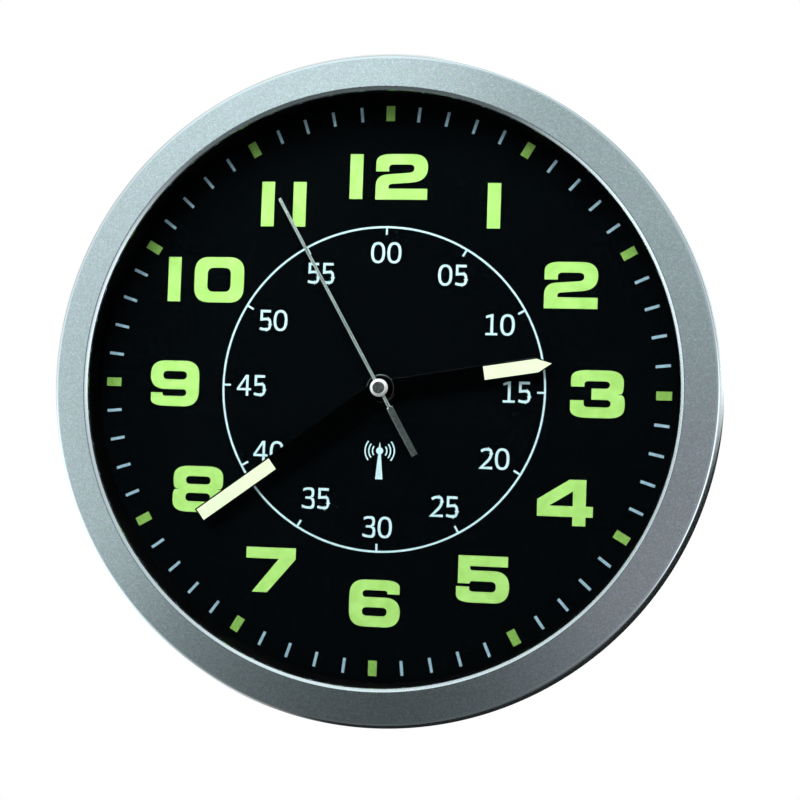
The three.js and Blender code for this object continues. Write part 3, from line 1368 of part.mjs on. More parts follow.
function addElectronics() {
  piece('circuit_board', makeBoard(), materials.board);
  piece('receiver_chip', makeChip(), materials.blackPlastic);
  piece('clock_crystal', makeCrystal(1), materials.steel);
  piece('receiver_crystal', makeCrystal(-1), materials.steel);
  piece('ferrite_rod', makeFerriteRod(), materials.ferrite);
  piece('antenna_coil', makeAntennaCoil(), materials.copper);
  piece('battery', makeBattery(), materials.battery);
  piece('battery_positive_contact', makePositiveContact(), materials.steel);
  piece('battery_negative_contact', makeNegativeContact(), materials.steel);
  buttonNames.forEach((name) => {
    piece(`${name}_button`, makeButton(name), materials.whitePlastic, [BUTTON_PLACES[name], buttonHeight]);
  });
}

addCase();
addHands();
addHardware();
addMovement();
addElectronics();

clock.position.z = -NAIL_SEAT_HEIGHT;
clock.rotation.x = Math.PI / 2;

const object = new THREE.Group();
object.add(clock);

export default object;
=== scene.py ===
# Looks of a radio-controlled wall clock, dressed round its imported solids.
# Shapes are drawn in clock millimetres: x right, y up from the hands' axis, z out from the wall.
# Angles on the face run clockwise from twelve, in degrees.

import math

import bmesh
import bpy
from mathutils import Matrix, Vector


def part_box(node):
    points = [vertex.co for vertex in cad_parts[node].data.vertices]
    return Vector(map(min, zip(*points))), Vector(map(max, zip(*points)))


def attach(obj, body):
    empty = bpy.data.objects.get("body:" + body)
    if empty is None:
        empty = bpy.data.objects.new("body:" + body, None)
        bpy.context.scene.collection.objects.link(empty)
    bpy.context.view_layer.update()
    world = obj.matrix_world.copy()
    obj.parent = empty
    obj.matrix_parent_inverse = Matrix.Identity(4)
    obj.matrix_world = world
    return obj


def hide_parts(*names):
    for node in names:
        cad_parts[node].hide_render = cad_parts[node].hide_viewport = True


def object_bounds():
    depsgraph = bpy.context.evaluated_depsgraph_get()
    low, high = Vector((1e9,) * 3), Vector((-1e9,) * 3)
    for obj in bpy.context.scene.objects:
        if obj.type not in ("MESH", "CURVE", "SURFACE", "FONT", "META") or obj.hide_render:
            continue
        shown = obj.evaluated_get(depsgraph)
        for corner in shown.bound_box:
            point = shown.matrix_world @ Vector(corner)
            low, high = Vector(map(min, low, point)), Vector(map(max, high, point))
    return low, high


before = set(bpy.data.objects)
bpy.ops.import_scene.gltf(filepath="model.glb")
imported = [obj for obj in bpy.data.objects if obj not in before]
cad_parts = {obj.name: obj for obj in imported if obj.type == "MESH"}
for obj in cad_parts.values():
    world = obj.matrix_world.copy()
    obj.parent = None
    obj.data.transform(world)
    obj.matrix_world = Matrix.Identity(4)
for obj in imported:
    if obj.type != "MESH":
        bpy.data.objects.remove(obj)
cad_low, cad_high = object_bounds()

MM = 0.001
RIM_STEPS = 360
SMALL_STEPS = 64
CURVE_STEPS = 8
SHARP_ANGLE = math.radians(20)
MITRE_LIMIT = 0.5
ON_AXIS = 1e-6
WELD = 0.001
SOFT_EDGE = 0.04

# How far a piece stays inside the box of its solid
HAIR = 0.01
HALF_HAIR = 0.005

dial_low, dial_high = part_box("dial")
axis = (dial_low + dial_high) / 2
TO_ROW = Matrix(((MM, 0, 0, axis.x), (0, 0, -MM, 0), (0, MM, 0, axis.z), (0, 0, 0, 1)))


# Sizes read from the frame


def depths(node):
    """Back and front of a node, in millimetres out from the wall."""
    low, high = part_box(node)
    return -high.y / MM, -low.y / MM


def radius(node):
    """Half the width of a round node, in millimetres."""
    low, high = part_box(node)
    return (high.x - low.x) / 2 / MM


# Outlines


def clockwise(reach, degrees):
    """The point at that reach and clock angle."""
    turn = math.radians(degrees)
    return Vector((reach * math.sin(turn), reach * math.cos(turn)))


def bend(start, corner, end):
    """Points on the curve that leaves start and reaches end, drawn towards corner."""
    points = []
    for i in range(CURVE_STEPS + 1):
        t = i / CURVE_STEPS
        points.append(start * (1 - t) ** 2 + corner * 2 * t * (1 - t) + end * t**2)
    return points


def rounded(corners, closed=True):
    """Points along an outline of corners (x, y) or (x, y, rounding)."""
    points = []
    count = len(corners)
    for i, (x, y, *rounding) in enumerate(corners):
        corner = Vector((x, y))
        if not rounding or (not closed and i in (0, count - 1)):
            points.append(corner)
            continue
        before = Vector(corners[i - 1][:2]) - corner
        after = Vector(corners[(i + 1) % count][:2]) - corner
        start = corner + before.normalized() * min(rounding[0], before.length / 2)
        end = corner + after.normalized() * min(rounding[0], after.length / 2)
        points += bend(start, corner, end)
    return points


def box_corners(left, low, right, high, *rounding):
    """The corners of a rectangle, with the rounding that they all have."""
    return [(x, y, *rounding) for x, y in ((left, low), (right, low), (right, high), (left, high))]


def circle(reach, x=0.0, y=0.0, steps=SMALL_STEPS):
    """Points round a circle."""
    return [Vector((x, y)) + clockwise(reach, -360 * i / steps) for i in range(steps)]


def arc(reach, start, end, steps=CURVE_STEPS):
    """Points along an arc between two clock angles."""
    return [clockwise(reach, start + (end - start) * i / steps) for i in range(steps + 1)]


def stroke(path, width):
    """The outline of a line of even width along an open path."""
    left, right = [], []
    for i, point in enumerate(path):
        before = (point - path[i - 1]).normalized() if i else None
        after = (path[i + 1] - point).normalized() if i + 1 < len(path) else None
        along = ((before or after) + (after or before)).normalized()
        side = Vector((-along.y, along.x))
        lean = max(abs(along.dot(before or after)), MITRE_LIMIT)
        left.append(point + side * width / 2 / lean)
        right.append(point - side * width / 2 / lean)
    return left + right[::-1]


def bar(reach, degrees, width, length):
    """A straight bar whose middle is at reach, pointing at the axis."""
    out = clockwise(1, degrees)
    side = Vector((out.y, -out.x))
    middle = out * reach
    corners = [(-1, -1), (-1, 1), (1, 1), (1, -1)]
    return [middle + out * a * length / 2 + side * b * width / 2 for a, b in corners]


def moved(points, x, y):
    """The points, moved."""
    return [point + Vector((x, y)) for point in points]


# Meshes


def link(obj):
    """Puts an object into the scene."""
    bpy.context.scene.collection.objects.link(obj)


def make_object(name, mesh, place=None):
    """Puts a mesh drawn in clock millimetres into the scene, smooth but for its sharp edges."""
    mesh.transform(TO_ROW @ (place or Matrix.Identity(4)))
    mesh.polygons.foreach_set("use_smooth", [True] * len(mesh.polygons))
    mesh.set_sharp_from_angle(angle=SHARP_ANGLE)
    obj = bpy.data.objects.new(name, mesh)
    link(obj)
    return obj


def mesh_from(name, shape):
    """A mesh of a finished bmesh, its faces pointing out."""
    bmesh.ops.recalc_face_normals(shape, faces=shape.faces)
    mesh = bpy.data.meshes.new(name)
    shape.to_mesh(mesh)
    shape.free()
    return mesh


def lathe_mesh(name, profile, steps=RIM_STEPS):
    """Turns a profile of (radius, z) about the axis; one that starts off the axis closes on itself."""
    shape = bmesh.new()
    rings = []
    for reach, z in profile:
        if reach < ON_AXIS:
            rings.append([shape.verts.new((0, 0, z))])
            continue
        turns = [2 * math.pi * i / steps for i in range(steps)]
        rings.append([shape.verts.new((reach * math.cos(t), reach * math.sin(t), z)) for t in turns])
    pairs = list(zip(rings, rings[1:]))
    if profile[0][0] > 0:
        pairs.append((rings[-1], rings[0]))
    for first, second in pairs:
        for i in range(steps):
            j = i + 1
            corners = [first[i % len(first)], first[j % len(first)]]
            corners += [second[j % len(second)], second[i % len(second)]]
            distinct = list(dict.fromkeys(corners))
            if len(distinct) > 2:
                shape.faces.new(distinct)
    return mesh_from(name, shape)


def flat_mesh(name, outlines, low, high, edge=SOFT_EDGE):
    """Fills closed outlines, holes among them, as a plate from low to high with softened edges."""
    curve = bpy.data.curves.new(name, "CURVE")
    curve.dimensions = "2D"
    curve.fill_mode = "BOTH"
    curve.extrude = (high - low) / 2 - edge
    curve.bevel_depth = edge
    curve.bevel_resolution = 1
    curve.offset = -edge
    for outline in outlines:
        spline = curve.splines.new("POLY")
        spline.points.add(len(outline) - 1)
        spline.points.foreach_set("co", [c for p in outline for c in (p.x, p.y, 0, 1)])
        spline.use_cyclic_u = True
    holder = bpy.data.objects.new(name, curve)
    link(holder)
    bpy.context.view_layer.update()
    seen = holder.evaluated_get(bpy.context.evaluated_depsgraph_get())
    mesh = bpy.data.meshes.new_from_object(seen)
    bpy.data.objects.remove(holder)
    bpy.data.curves.remove(curve)
    shape = bmesh.new()
    shape.from_mesh(mesh)
    bpy.data.meshes.remove(mesh)
    bmesh.ops.remove_doubles(shape, verts=shape.verts, dist=WELD)
    bmesh.ops.translate(shape, verts=shape.verts, vec=(0, 0, (low + high) / 2))
    return mesh_from(name, shape)


# Nodes of materials and of the world

BLACK = (0, 0, 0, 1)
WHITE = (1, 1, 1, 1)

def add(tree, kind, inputs=None, **settings):
    """Adds a node, sets it up and joins or fills its inputs."""
    node = tree.nodes.new("ShaderNode" + kind)
    for key, value in settings.items():
        setattr(node, key, value)
    for key, value in (inputs or {}).items():
        if isinstance(value, bpy.types.NodeSocket):
            tree.links.new(value, node.inputs[key])
        else:
            node.inputs[key].default_value = value
    return node


def srgb(red, green, blue):
    """A colour written as on a screen, 0 to 255, as the shader takes it."""
    parts = [c / 255 for c in (red, green, blue)]
    return (*[p / 12.92 if p < 0.04045 else ((p + 0.055) / 1.055) ** 2.4 for p in parts], 1)


def sum_of(tree, operation, first, second):
    """The result of one arithmetic step."""
    return add(tree, "Math", {0: first, 1: second}, operation=operation).outputs[0]


def spread(tree, value, low, high, start=0.35, end=0.65):
    """Brings a value from start..end to low..high; unless told, from where noise lies."""
    limits = {"Value": value, "From Min": start, "From Max": end, "To Min": low, "To Max": high}
    return add(tree, "MapRange", limits).outputs[0]


def mixed(tree, factor, first, second):
    """A colour between two colours."""
    return add(tree, "Mix", {0: factor, 6: first, 7: second}, data_type="RGBA").outputs[2]


def placed(tree):
    """The place on the object, in metres."""
    return add(tree, "TexCoord").outputs["Object"]


def noise(tree, place, scale, detail=3.0):
    """Smooth noise about 0.5, with that many waves in a metre."""
    return add(tree, "TexNoise", {"Vector": place, "Scale": scale, "Detail": detail}).outputs[0]


def bumped(tree, shader, height, distance, strength=1.0):
    """Gives the shader a relief of that height, in metres."""
    bump = add(tree, "Bump", {"Height": height, "Distance": distance, "Strength": strength})
    tree.links.new(bump.outputs[0], shader.inputs["Normal"])


def new_material(name):
    """A material with its tree and its shader."""
    made = bpy.data.materials.new(name)
    made.use_nodes = True
    return made, made.node_tree, made.node_tree.nodes["Principled BSDF"]


COAT_ROUGHNESS = 0.04


def finish(name, dark, light, roughness, patch, grain, relief, metallic=0.0, gloss=0.5, coat=0.0):
    """A plain surface: patches of two screen colours, with a fine grain in its gloss and its relief."""
    made, tree, shader = new_material(name)
    place = placed(tree)
    grains = noise(tree, place, grain)
    colour = mixed(tree, spread(tree, noise(tree, place, patch), 0, 1), srgb(*dark), srgb(*light))
    tree.links.new(colour, shader.inputs["Base Color"])
    tree.links.new(spread(tree, grains, *roughness), shader.inputs["Roughness"])
    shader.inputs["Metallic"].default_value = metallic
    shader.inputs["Specular IOR Level"].default_value = gloss
    shader.inputs["Coat Weight"].default_value = coat
    shader.inputs["Coat Roughness"].default_value = COAT_ROUGHNESS
    bumped(tree, shader, grains, relief)
    return made


# Materials

# Silver paint: its flakes and their painted glints, where the lip, the shoulder and the side begin (in
# metres), the painted shade of the side, and their gloss
FLAKE_SCALE = 2100
RELIEF_SCALE = 1680
FLAKE_RELIEF = 0.00002
FLAKE_STRENGTH = 0.4
DARK_FLAKE = 0.74
DARK_CLOUD = 0.9
GLINT_ABOVE = 0.985
PAINTED_GLINT = 0.35
LIP_WITHIN = 0.1314
SHOULDER_BEYOND = 0.1453
SIDE_BEYOND = 0.1469
SIDE_PAINTED_SHADE = 0.72
FACE_ROUGHNESS = 0.26
SIDE_ROUGHNESS = 0.2
CLOUD_ROUGHNESS = 0.06
LIP_POLISH = 0.12
SHOULDER_POLISH = 0.18
SMOOTH_RELIEF = 0.25
FLAKE_METAL = 0.92
CLEAR_COAT = 0.8


def silver_paint():
    """Metallic paint under a clear coat: small flakes of differing brightness and tint, a few painted
    brighter than white as glints.

    The bezel's sloped face is grained; its lip and its outer shoulder are smooth and painted at full
    brightness, a painted highlight; its side is smoother than the face and painted darker, a painted shade.
    """
    made, tree, shader = new_material("silver_paint")
    place = placed(tree)
    inward = add(tree, "VectorMath", {0: place, 1: (axis.x, 0, axis.z)}, operation="SUBTRACT").outputs[0]
    flat = add(tree, "VectorMath", {0: inward, 1: (1, 0, 1)}, operation="MULTIPLY").outputs[0]
    reach = add(tree, "VectorMath", {0: flat}, operation="LENGTH").outputs["Value"]
    lip = sum_of(tree, "LESS_THAN", reach, LIP_WITHIN)
    side = sum_of(tree, "GREATER_THAN", reach, SIDE_BEYOND)
    shoulder = sum_of(tree, "SUBTRACT", sum_of(tree, "GREATER_THAN", reach, SHOULDER_BEYOND), side)
    smooth = sum_of(tree, "ADD", lip, shoulder)

    cells = add(tree, "TexVoronoi", {"Vector": place, "Scale": FLAKE_SCALE}).outputs["Color"]
    flake = add(tree, "SeparateColor", {0: cells}).outputs
    cloud = noise(tree, place, FLAKE_SCALE / 2)
    bright = spread(tree, sum_of(tree, "POWER", flake[0], 2), DARK_FLAKE, 1, 0, 1)
    tone = sum_of(tree, "MULTIPLY", bright, spread(tree, cloud, DARK_CLOUD, 1))
    # A few flakes brighter than white: painted glints.
    glint_tone = sum_of(tree, "MULTIPLY", sum_of(tree, "GREATER_THAN", flake[0], GLINT_ABOVE), PAINTED_GLINT)
    tone = sum_of(tree, "ADD", tone, glint_tone)
    # The side's colour is darkened: a painted shade.
    tone = sum_of(tree, "MULTIPLY", tone, spread(tree, side, 1, SIDE_PAINTED_SHADE, 0, 1))
    # The lip and the shoulder go to full brightness: a painted highlight.
    tone = sum_of(tree, "MAXIMUM", tone, smooth)
    tint = mixed(tree, flake[1], srgb(226, 232, 252), srgb(213, 244, 235))
    tree.links.new(mixed(tree, tone, BLACK, tint), shader.inputs["Base Color"])
    dullness = spread(tree, side, FACE_ROUGHNESS, SIDE_ROUGHNESS, 0, 1)
    dullness = sum_of(tree, "SUBTRACT", dullness, spread(tree, lip, 0, LIP_POLISH, 0, 1))
    dullness = sum_of(tree, "SUBTRACT", dullness, spread(tree, shoulder, 0, SHOULDER_POLISH, 0, 1))
    dullness = sum_of(tree, "ADD", dullness, spread(tree, cloud, 0, CLOUD_ROUGHNESS))
    tree.links.new(dullness, shader.inputs["Roughness"])
    shader.inputs["Metallic"].default_value = FLAKE_METAL
    shader.inputs["Coat Weight"].default_value = CLEAR_COAT
    shader.inputs["Coat Roughness"].default_value = COAT_ROUGHNESS
    relief = spread(tree, sum_of(tree, "ADD", smooth, side), 1, SMOOTH_RELIEF, 0, 1)
    grains = sum_of(tree, "MULTIPLY", noise(tree, place, RELIEF_SCALE, 1), relief)
    bumped(tree, shader, grains, FLAKE_RELIEF, FLAKE_STRENGTH)
    return made


GLASS_MOTTLE = 60
GLASS_IOR = 1.35
GLASS_TINTS = ((0.985, 1, 0.995, 1), (0.995, 1, 1, 1))


def glass():
    """Clear flat glass with a breath of green."""
    made, tree, shader = new_material("lens_glass")
    tint = spread(tree, noise(tree, placed(tree), GLASS_MOTTLE), 0, 1)
    tree.links.new(mixed(tree, tint, *GLASS_TINTS), shader.inputs["Base Color"])
    shader.inputs["Transmission Weight"].default_value = 1
    shader.inputs["Roughness"].default_value = 0
    shader.inputs["IOR"].default_value = GLASS_IOR
    return made


SLEEVE_BAND_END = 0.0125
SLEEVE_WEAR = 120
SLEEVE_ROUGHNESS = (0.3, 0.34)
SLEEVE_METAL = 0.2


def sleeve():
    """Battery sleeve: a wide band of blue, then silver at the positive end."""
    made, tree, shader = new_material("battery_sleeve")
    place = placed(tree)
    along = add(tree, "SeparateXYZ", {0: place}).outputs[0]
    end = sum_of(tree, "GREATER_THAN", along, SLEEVE_BAND_END)
    worn = noise(tree, place, SLEEVE_WEAR)
    body = mixed(tree, spread(tree, worn, 0, 1), srgb(38, 92, 122), srgb(44, 103, 134))
    tree.links.new(mixed(tree, end, body, srgb(196, 190, 172)), shader.inputs["Base Color"])
    tree.links.new(spread(tree, worn, *SLEEVE_ROUGHNESS), shader.inputs["Roughness"])
    shader.inputs["Metallic"].default_value = SLEEVE_METAL
    return made


WIRE_PITCH = 0.0004
WIRE_GRAIN = 900
WIRE_ROUGHNESS = (0.28, 0.4)
WIRE_METAL = 0.85


def windings():
    """Enamelled wire wound side by side round an x axis, painted dark in the grooves between turns as
    painted shade.
    """
    made, tree, shader = new_material("coil_wire")
    place = placed(tree)
    along = add(tree, "SeparateXYZ", {0: place}).outputs[0]
    turn = sum_of(tree, "PINGPONG", along, WIRE_PITCH / 2)
    crown_and_shade = spread(tree, turn, 0, 1, 0, WIRE_PITCH / 2)
    # Dark in the grooves between turns and light on each crown: painted shade.
    tree.links.new(mixed(tree, crown_and_shade, srgb(92, 42, 18), srgb(196, 106, 52)), shader.inputs["Base Color"])
    dullness = spread(tree, noise(tree, place, WIRE_GRAIN), *WIRE_ROUGHNESS)
    tree.links.new(dullness, shader.inputs["Roughness"])
    shader.inputs["Metallic"].default_value = WIRE_METAL
    bumped(tree, shader, crown_and_shade, WIRE_PITCH / 2)
    return made


PLASTIC = dict(patch=40, grain=2600, relief=0.00002)
METAL = dict(patch=250, grain=5000, relief=0.000002, metallic=1.0)
PRINT = dict(patch=700, grain=6000, relief=0.000006)

# Each finish: its darker and lighter colour, its least and greatest roughness, and the rest
FINISHES = {
    "case_plastic": ((22, 23, 25), (30, 31, 33), (0.42, 0.6), dict(patch=25, grain=1100, relief=0.00006)),
    "black_plastic": ((24, 25, 27), (31, 32, 34), (0.5, 0.62), PLASTIC),
    "spacer_plastic": ((5, 5, 6), (8, 8, 9), (0.5, 0.6), dict(PLASTIC, gloss=0.08)),
    "mark_plastic": ((150, 152, 154), (166, 168, 170), (0.5, 0.6), PLASTIC),
    "black_rubber": ((14, 14, 15), (22, 22, 23), (0.75, 0.9), dict(PLASTIC, gloss=0.1)),
    "white_plastic": ((206, 206, 198), (216, 216, 208), (0.4, 0.5), PLASTIC),
    "board_green": ((24, 82, 44), (38, 102, 58), (0.3, 0.42), dict(patch=900, grain=3000, relief=0.00002)),
    "dial_face": ((3, 6, 8), (7, 11, 13), (0.6, 0.7), dict(PRINT, gloss=0)),
    "numeral_lume": ((169, 226, 116), (184, 239, 134), (0.7, 0.85), dict(PRINT, patch=130, gloss=0.1)),
    "block_lume": ((130, 180, 84), (144, 196, 96), (0.7, 0.85), dict(PRINT, gloss=0.1)),
    "tick_paint": ((150, 186, 204), (164, 202, 216), (0.6, 0.75), PRINT),
    "white_print": ((198, 234, 240), (210, 244, 250), (0.6, 0.75), PRINT),
    "lume": ((232, 251, 208), (237, 254, 215), (0.7, 0.85), PRINT),
    "hand_black": ((1, 1, 2), (2, 3, 3), (0.4, 0.5), dict(PRINT, gloss=0, coat=0.3)),
    "hand_silver": ((190, 208, 206), (204, 220, 218), (0.24, 0.32), METAL),
    "cap_chrome": ((216, 224, 226), (226, 234, 236), (0.2, 0.28), METAL),
    # Near white and hardly metallic: partly a satin turning, partly a painted highlight.
    "cap_satin_highlight": ((246, 249, 249), (251, 254, 254), (0.26, 0.34), dict(METAL, metallic=0.1)),
    # Paler and less metallic than the needle: a painted highlight on the rails.
    "rail_silver_highlight": ((206, 228, 222), (220, 240, 234), (0.2, 0.3), dict(METAL, metallic=0.5)),
    "bush_dark": ((88, 96, 93), (98, 106, 103), (0.28, 0.36), METAL),
    "steel": ((172, 176, 178), (190, 194, 196), (0.28, 0.4), METAL),
    "nut_brass": ((182, 150, 84), (200, 168, 98), (0.26, 0.4), METAL),
    "ferrite": ((52, 52, 56), (66, 66, 70), (0.6, 0.75), dict(patch=500, grain=4000, relief=0.00003)),
    "magnet": ((92, 94, 98), (112, 114, 118), (0.35, 0.5), METAL),
}

materials = {
    "silver_paint": silver_paint(),
    "lens_glass": glass(),
    "battery_sleeve": sleeve(),
    "coil_wire": windings(),
}
for name, (dark, light, roughness, rest) in FINISHES.items():
    materials[name] = finish(name, dark, light, roughness, **rest)

# Pieces


def dress(obj, look, body="case", node=None):
    """Gives a piece its material and its body, and hides the nodes that it stands for."""
    obj.data.materials.clear()
    obj.data.materials.append(materials[look])
    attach(obj, body)
    if node:
        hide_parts(*([node] if isinstance(node, str) else node))
    return obj


# Bezel

bezel_radius = radius("bezel") - HAIR
bezel_front = depths("bezel")[1]
LIP_RADIUS = 130.1
CREST_RADIUS = 131.4
LIP_BEVEL_DROP = 1.5
LIP_DEPTH = 1.3
POCKET_RADIUS = 133.5
FACE_WIDTH = 14
FACE_DROP = 5.1
SKIRT_TOP = 36.7
SKIRT_INSET = 3.4
SKIRT_CURVE_DEPTH = 13
SKIRT_WALL = 2.6
FACE_WALL = 2.4
INNER_WALL = 2.2
INNER_WALL_END = 18
EDGE_ROUND = 0.35
SHOULDER_RISE = 0.4
SHOULDER_ROUND = 0.9
FACE_ROUND = 0.6
INNER_ROUND = 1
INNER_INSET = 1.2
INNER_DROP = 1.6


def bezel_profile():
    """One moulding: skirt, rounded shoulder, sloped face, bevelled lip and the pocket of the glass."""
    face_edge = CREST_RADIUS + FACE_WIDTH
    face_low = bezel_front - FACE_DROP
    lip_front = bezel_front - LIP_BEVEL_DROP
    lip_back = lip_front - LIP_DEPTH
    wall = POCKET_RADIUS + INNER_WALL
    skirt_inner = bezel_radius - SKIRT_WALL
    side = [
        (bezel_radius, HAIR, EDGE_ROUND),
        (bezel_radius, SKIRT_TOP - SKIRT_CURVE_DEPTH / 2, SKIRT_CURVE_DEPTH),
        (bezel_radius - SKIRT_INSET, SKIRT_TOP + SHOULDER_RISE, SHOULDER_ROUND),
        (face_edge, face_low, FACE_ROUND),
        (CREST_RADIUS, bezel_front, EDGE_ROUND),
        (LIP_RADIUS, lip_front, EDGE_ROUND),
        (LIP_RADIUS, lip_back),
        (POCKET_RADIUS, lip_back),
        (POCKET_RADIUS, INNER_WALL_END, EDGE_ROUND),
        (wall, INNER_WALL_END, EDGE_ROUND),
        (wall, bezel_front - FACE_WALL - INNER_DROP),
        (face_edge - INNER_INSET, face_low - FACE_WALL + SHOULDER_RISE, INNER_ROUND),
        (skirt_inner, SKIRT_TOP - SKIRT_CURVE_DEPTH, INNER_ROUND),
        (skirt_inner, HAIR, EDGE_ROUND),
    ]
    return [tuple(p) for p in rounded(side)]


dress(make_object("bezel_shell", lathe_mesh("bezel_shell", bezel_profile())), "silver_paint", node="bezel")

# Glass, its seal and the spacer ring

EDGE_CHAMFER = 0.2


def ring_profile(outer, inner, low, high, chamfer=EDGE_CHAMFER):
    """The section of a ring with its four edges broken; inner zero makes a disc."""
    if inner <= 0:
        return [(0, low), (outer - chamfer, low), (outer, low + chamfer),
                (outer, high - chamfer), (outer - chamfer, high), (0, high)]
    return [(inner + chamfer, low), (outer - chamfer, low), (outer, low + chamfer),
            (outer, high - chamfer), (outer - chamfer, high), (inner + chamfer, high),
            (inner, high - chamfer), (inner, low + chamfer)]


def make_ring(name, node, look, inner):
    """A turned ring or disc in the place of a node."""
    profile = ring_profile(radius(node) - HALF_HAIR, inner, *depths(node))
    return dress(make_object(name, lathe_mesh(name, profile)), look, node=node)


STACK_WALL = 3.0
pane = make_ring("glass_pane", "lens", "lens_glass", 0)
pane.visible_shadow = False
stack_inner = radius("dial") - STACK_WALL
make_ring("glass_seal", "lens_seal", "black_rubber", stack_inner)
make_ring("spacer_ring", "dial_spacer_ring", "spacer_plastic", stack_inner)

# Dial and what is printed on it

DIAL_BORE = 4.1
DIAL_CHAMFER = 0.1
dial_back, dial_print = depths("dial")
LUME_THICKNESS = 0.25
INK_THICKNESS = 0.06
INK_EDGE = 0.02
PRINT_ROOT = 0.02
dial_face = dial_print - LUME_THICKNESS

NUMERAL_RADIUS = 95.6
FIGURE_HEIGHT = 20.8
HOUR_TURN = 30
MINUTE_TURN = 6
BLOCK_RADIUS = 124.3
BLOCK_SIZE = (3.9, 6.8)
TICK_SIZE = (1.3, 6.6)
RING_RADIUS = 72.7
RING_LINE = 0.9
RING_TICK = 3.0

BIG = 7
NOTCH = 3.6
SMALL = 2.2

FIGURES = {
    "0": (23.2, [box_corners(0, 0, 23.2, 20.8, BIG), box_corners(6.1, 4.9, 17, 15.9, 3)]),
    "1": (5.95, [box_corners(0, 0.2, 5.95, 20.6)]),
    "2": (23.5, [[(0, 0), (23.5, 0), (23.5, 5), (5.9, 5), (5.9, 7, 1.8), (23.5, 8.4, BIG),
                  (23.5, 20.7, BIG), (0, 20.7, BIG), (0, 12.8), (5.9, 12.8), (5.9, 15.95, SMALL),
                  (17.4, 15.95, SMALL), (17.4, 12.4, SMALL), (0, 11, 5)]]),
    "3": (23.7, [[(0, 0, BIG), (23.7, 0, BIG), (23.7, 10.1, NOTCH), (20.3, 10.4), (23.1, 10.7, NOTCH),
                  (23.1, 20.9, BIG), (0.2, 20.9, BIG), (0.2, 13.6), (6.1, 13.6), (6.1, 16.1, SMALL),
                  (17.1, 16.1, SMALL), (17.1, 12.9, SMALL), (9.2, 12.9), (9.2, 8), (17.6, 8, SMALL),
                  (17.6, 4.7, SMALL), (5.9, 4.7, SMALL), (5.9, 7.6), (0, 7.6)]]),
    "4": (24.3, [[(15.5, 0.3), (21.2, 0.3), (21.2, 4.2), (24.3, 4.2), (24.3, 8.9), (21.2, 8.9),
                  (21.2, 20.5), (13.9, 20.5), (0, 11.6), (0, 4.2), (15.5, 4.2)],
                 [(5.3, 8.9), (15.5, 8.9), (15.5, 15.4)]]),
    "5": (23.4, [[(0, 0, BIG), (23.4, 0, BIG), (23.4, 14.1, BIG), (6, 14.1, 1.6), (6, 16), (22.6, 16),
                  (22.6, 20.6), (0.7, 20.6), (0.7, 8.3), (5.9, 8.3), (6.2, 9.4, 1.2),
                  (17.5, 9.4, SMALL), (17.5, 4.8, SMALL), (5.8, 4.8, SMALL), (5.8, 6.9), (0, 6.9)]]),
    "6": (22.9, [[(0, 0, BIG), (22.9, 0, BIG), (22.9, 13.1, BIG), (5.9, 13.1, 1.6), (5.9, 16.2, SMALL),
                  (17, 16.2, 1.6), (17.1, 14.7), (22.5, 14.7), (22.5, 20.8, BIG), (0, 20.8, BIG)],
                 box_corners(5.9, 4.8, 17, 8.6, SMALL)]),
    "7": (22.7, [[(3.1, 0.3), (10.1, 0.3), (22.7, 15.4), (22.7, 20.4), (0, 20.4), (0, 15.4), (15, 15.4)]]),
    "8": (23.5, [[(0, 0, BIG), (23.5, 0, BIG), (23.5, 10.1, NOTCH), (20.4, 10.4), (23.3, 10.7, NOTCH),
                  (23.3, 20.8, BIG), (0.2, 20.8, BIG), (0.2, 10.7, NOTCH), (3.1, 10.4), (0, 10.1, NOTCH)],
                 box_corners(6, 4.8, 17.5, 8.6, SMALL), box_corners(6, 12.6, 17.5, 16.2, SMALL)]),
}
FIGURE_GAPS = {10: 6.4, 11: 8.7, 12: 5.9}


def figure_outlines(figure):
    """Width and outlines of a figure of an hour numeral; the nine is the six turned half round."""
    width, loops = FIGURES["6" if figure == "9" else figure]
    outlines = [rounded(loop) for loop in loops]
    if figure == "9":
        outlines = [[Vector((width - p.x, FIGURE_HEIGHT - p.y)) for p in loop] for loop in outlines]
    return width, outlines


def numeral_outlines(hour):
    """The outlines of an hour numeral in its place on the dial."""
    figures = [figure_outlines(figure) for figure in str(hour)]
    gap = FIGURE_GAPS.get(hour, 0)
    centre = clockwise(NUMERAL_RADIUS, hour * HOUR_TURN)
    left = centre.x - (sum(width for width, _ in figures) + gap * (len(figures) - 1)) / 2
    placed_loops = []
    for width, loops in figures:
        placed_loops += [moved(loop, left, centre.y - FIGURE_HEIGHT / 2) for loop in loops]
        left += width + gap
    return placed_loops


def printed(name, outlines, look, thickness=LUME_THICKNESS, edge=SOFT_EDGE):
    """Something printed on the dial, standing a little proud of it."""
    mesh = flat_mesh(name, outlines, dial_face - PRINT_ROOT, dial_face + thickness, edge)
    dress(make_object(name, mesh), look)


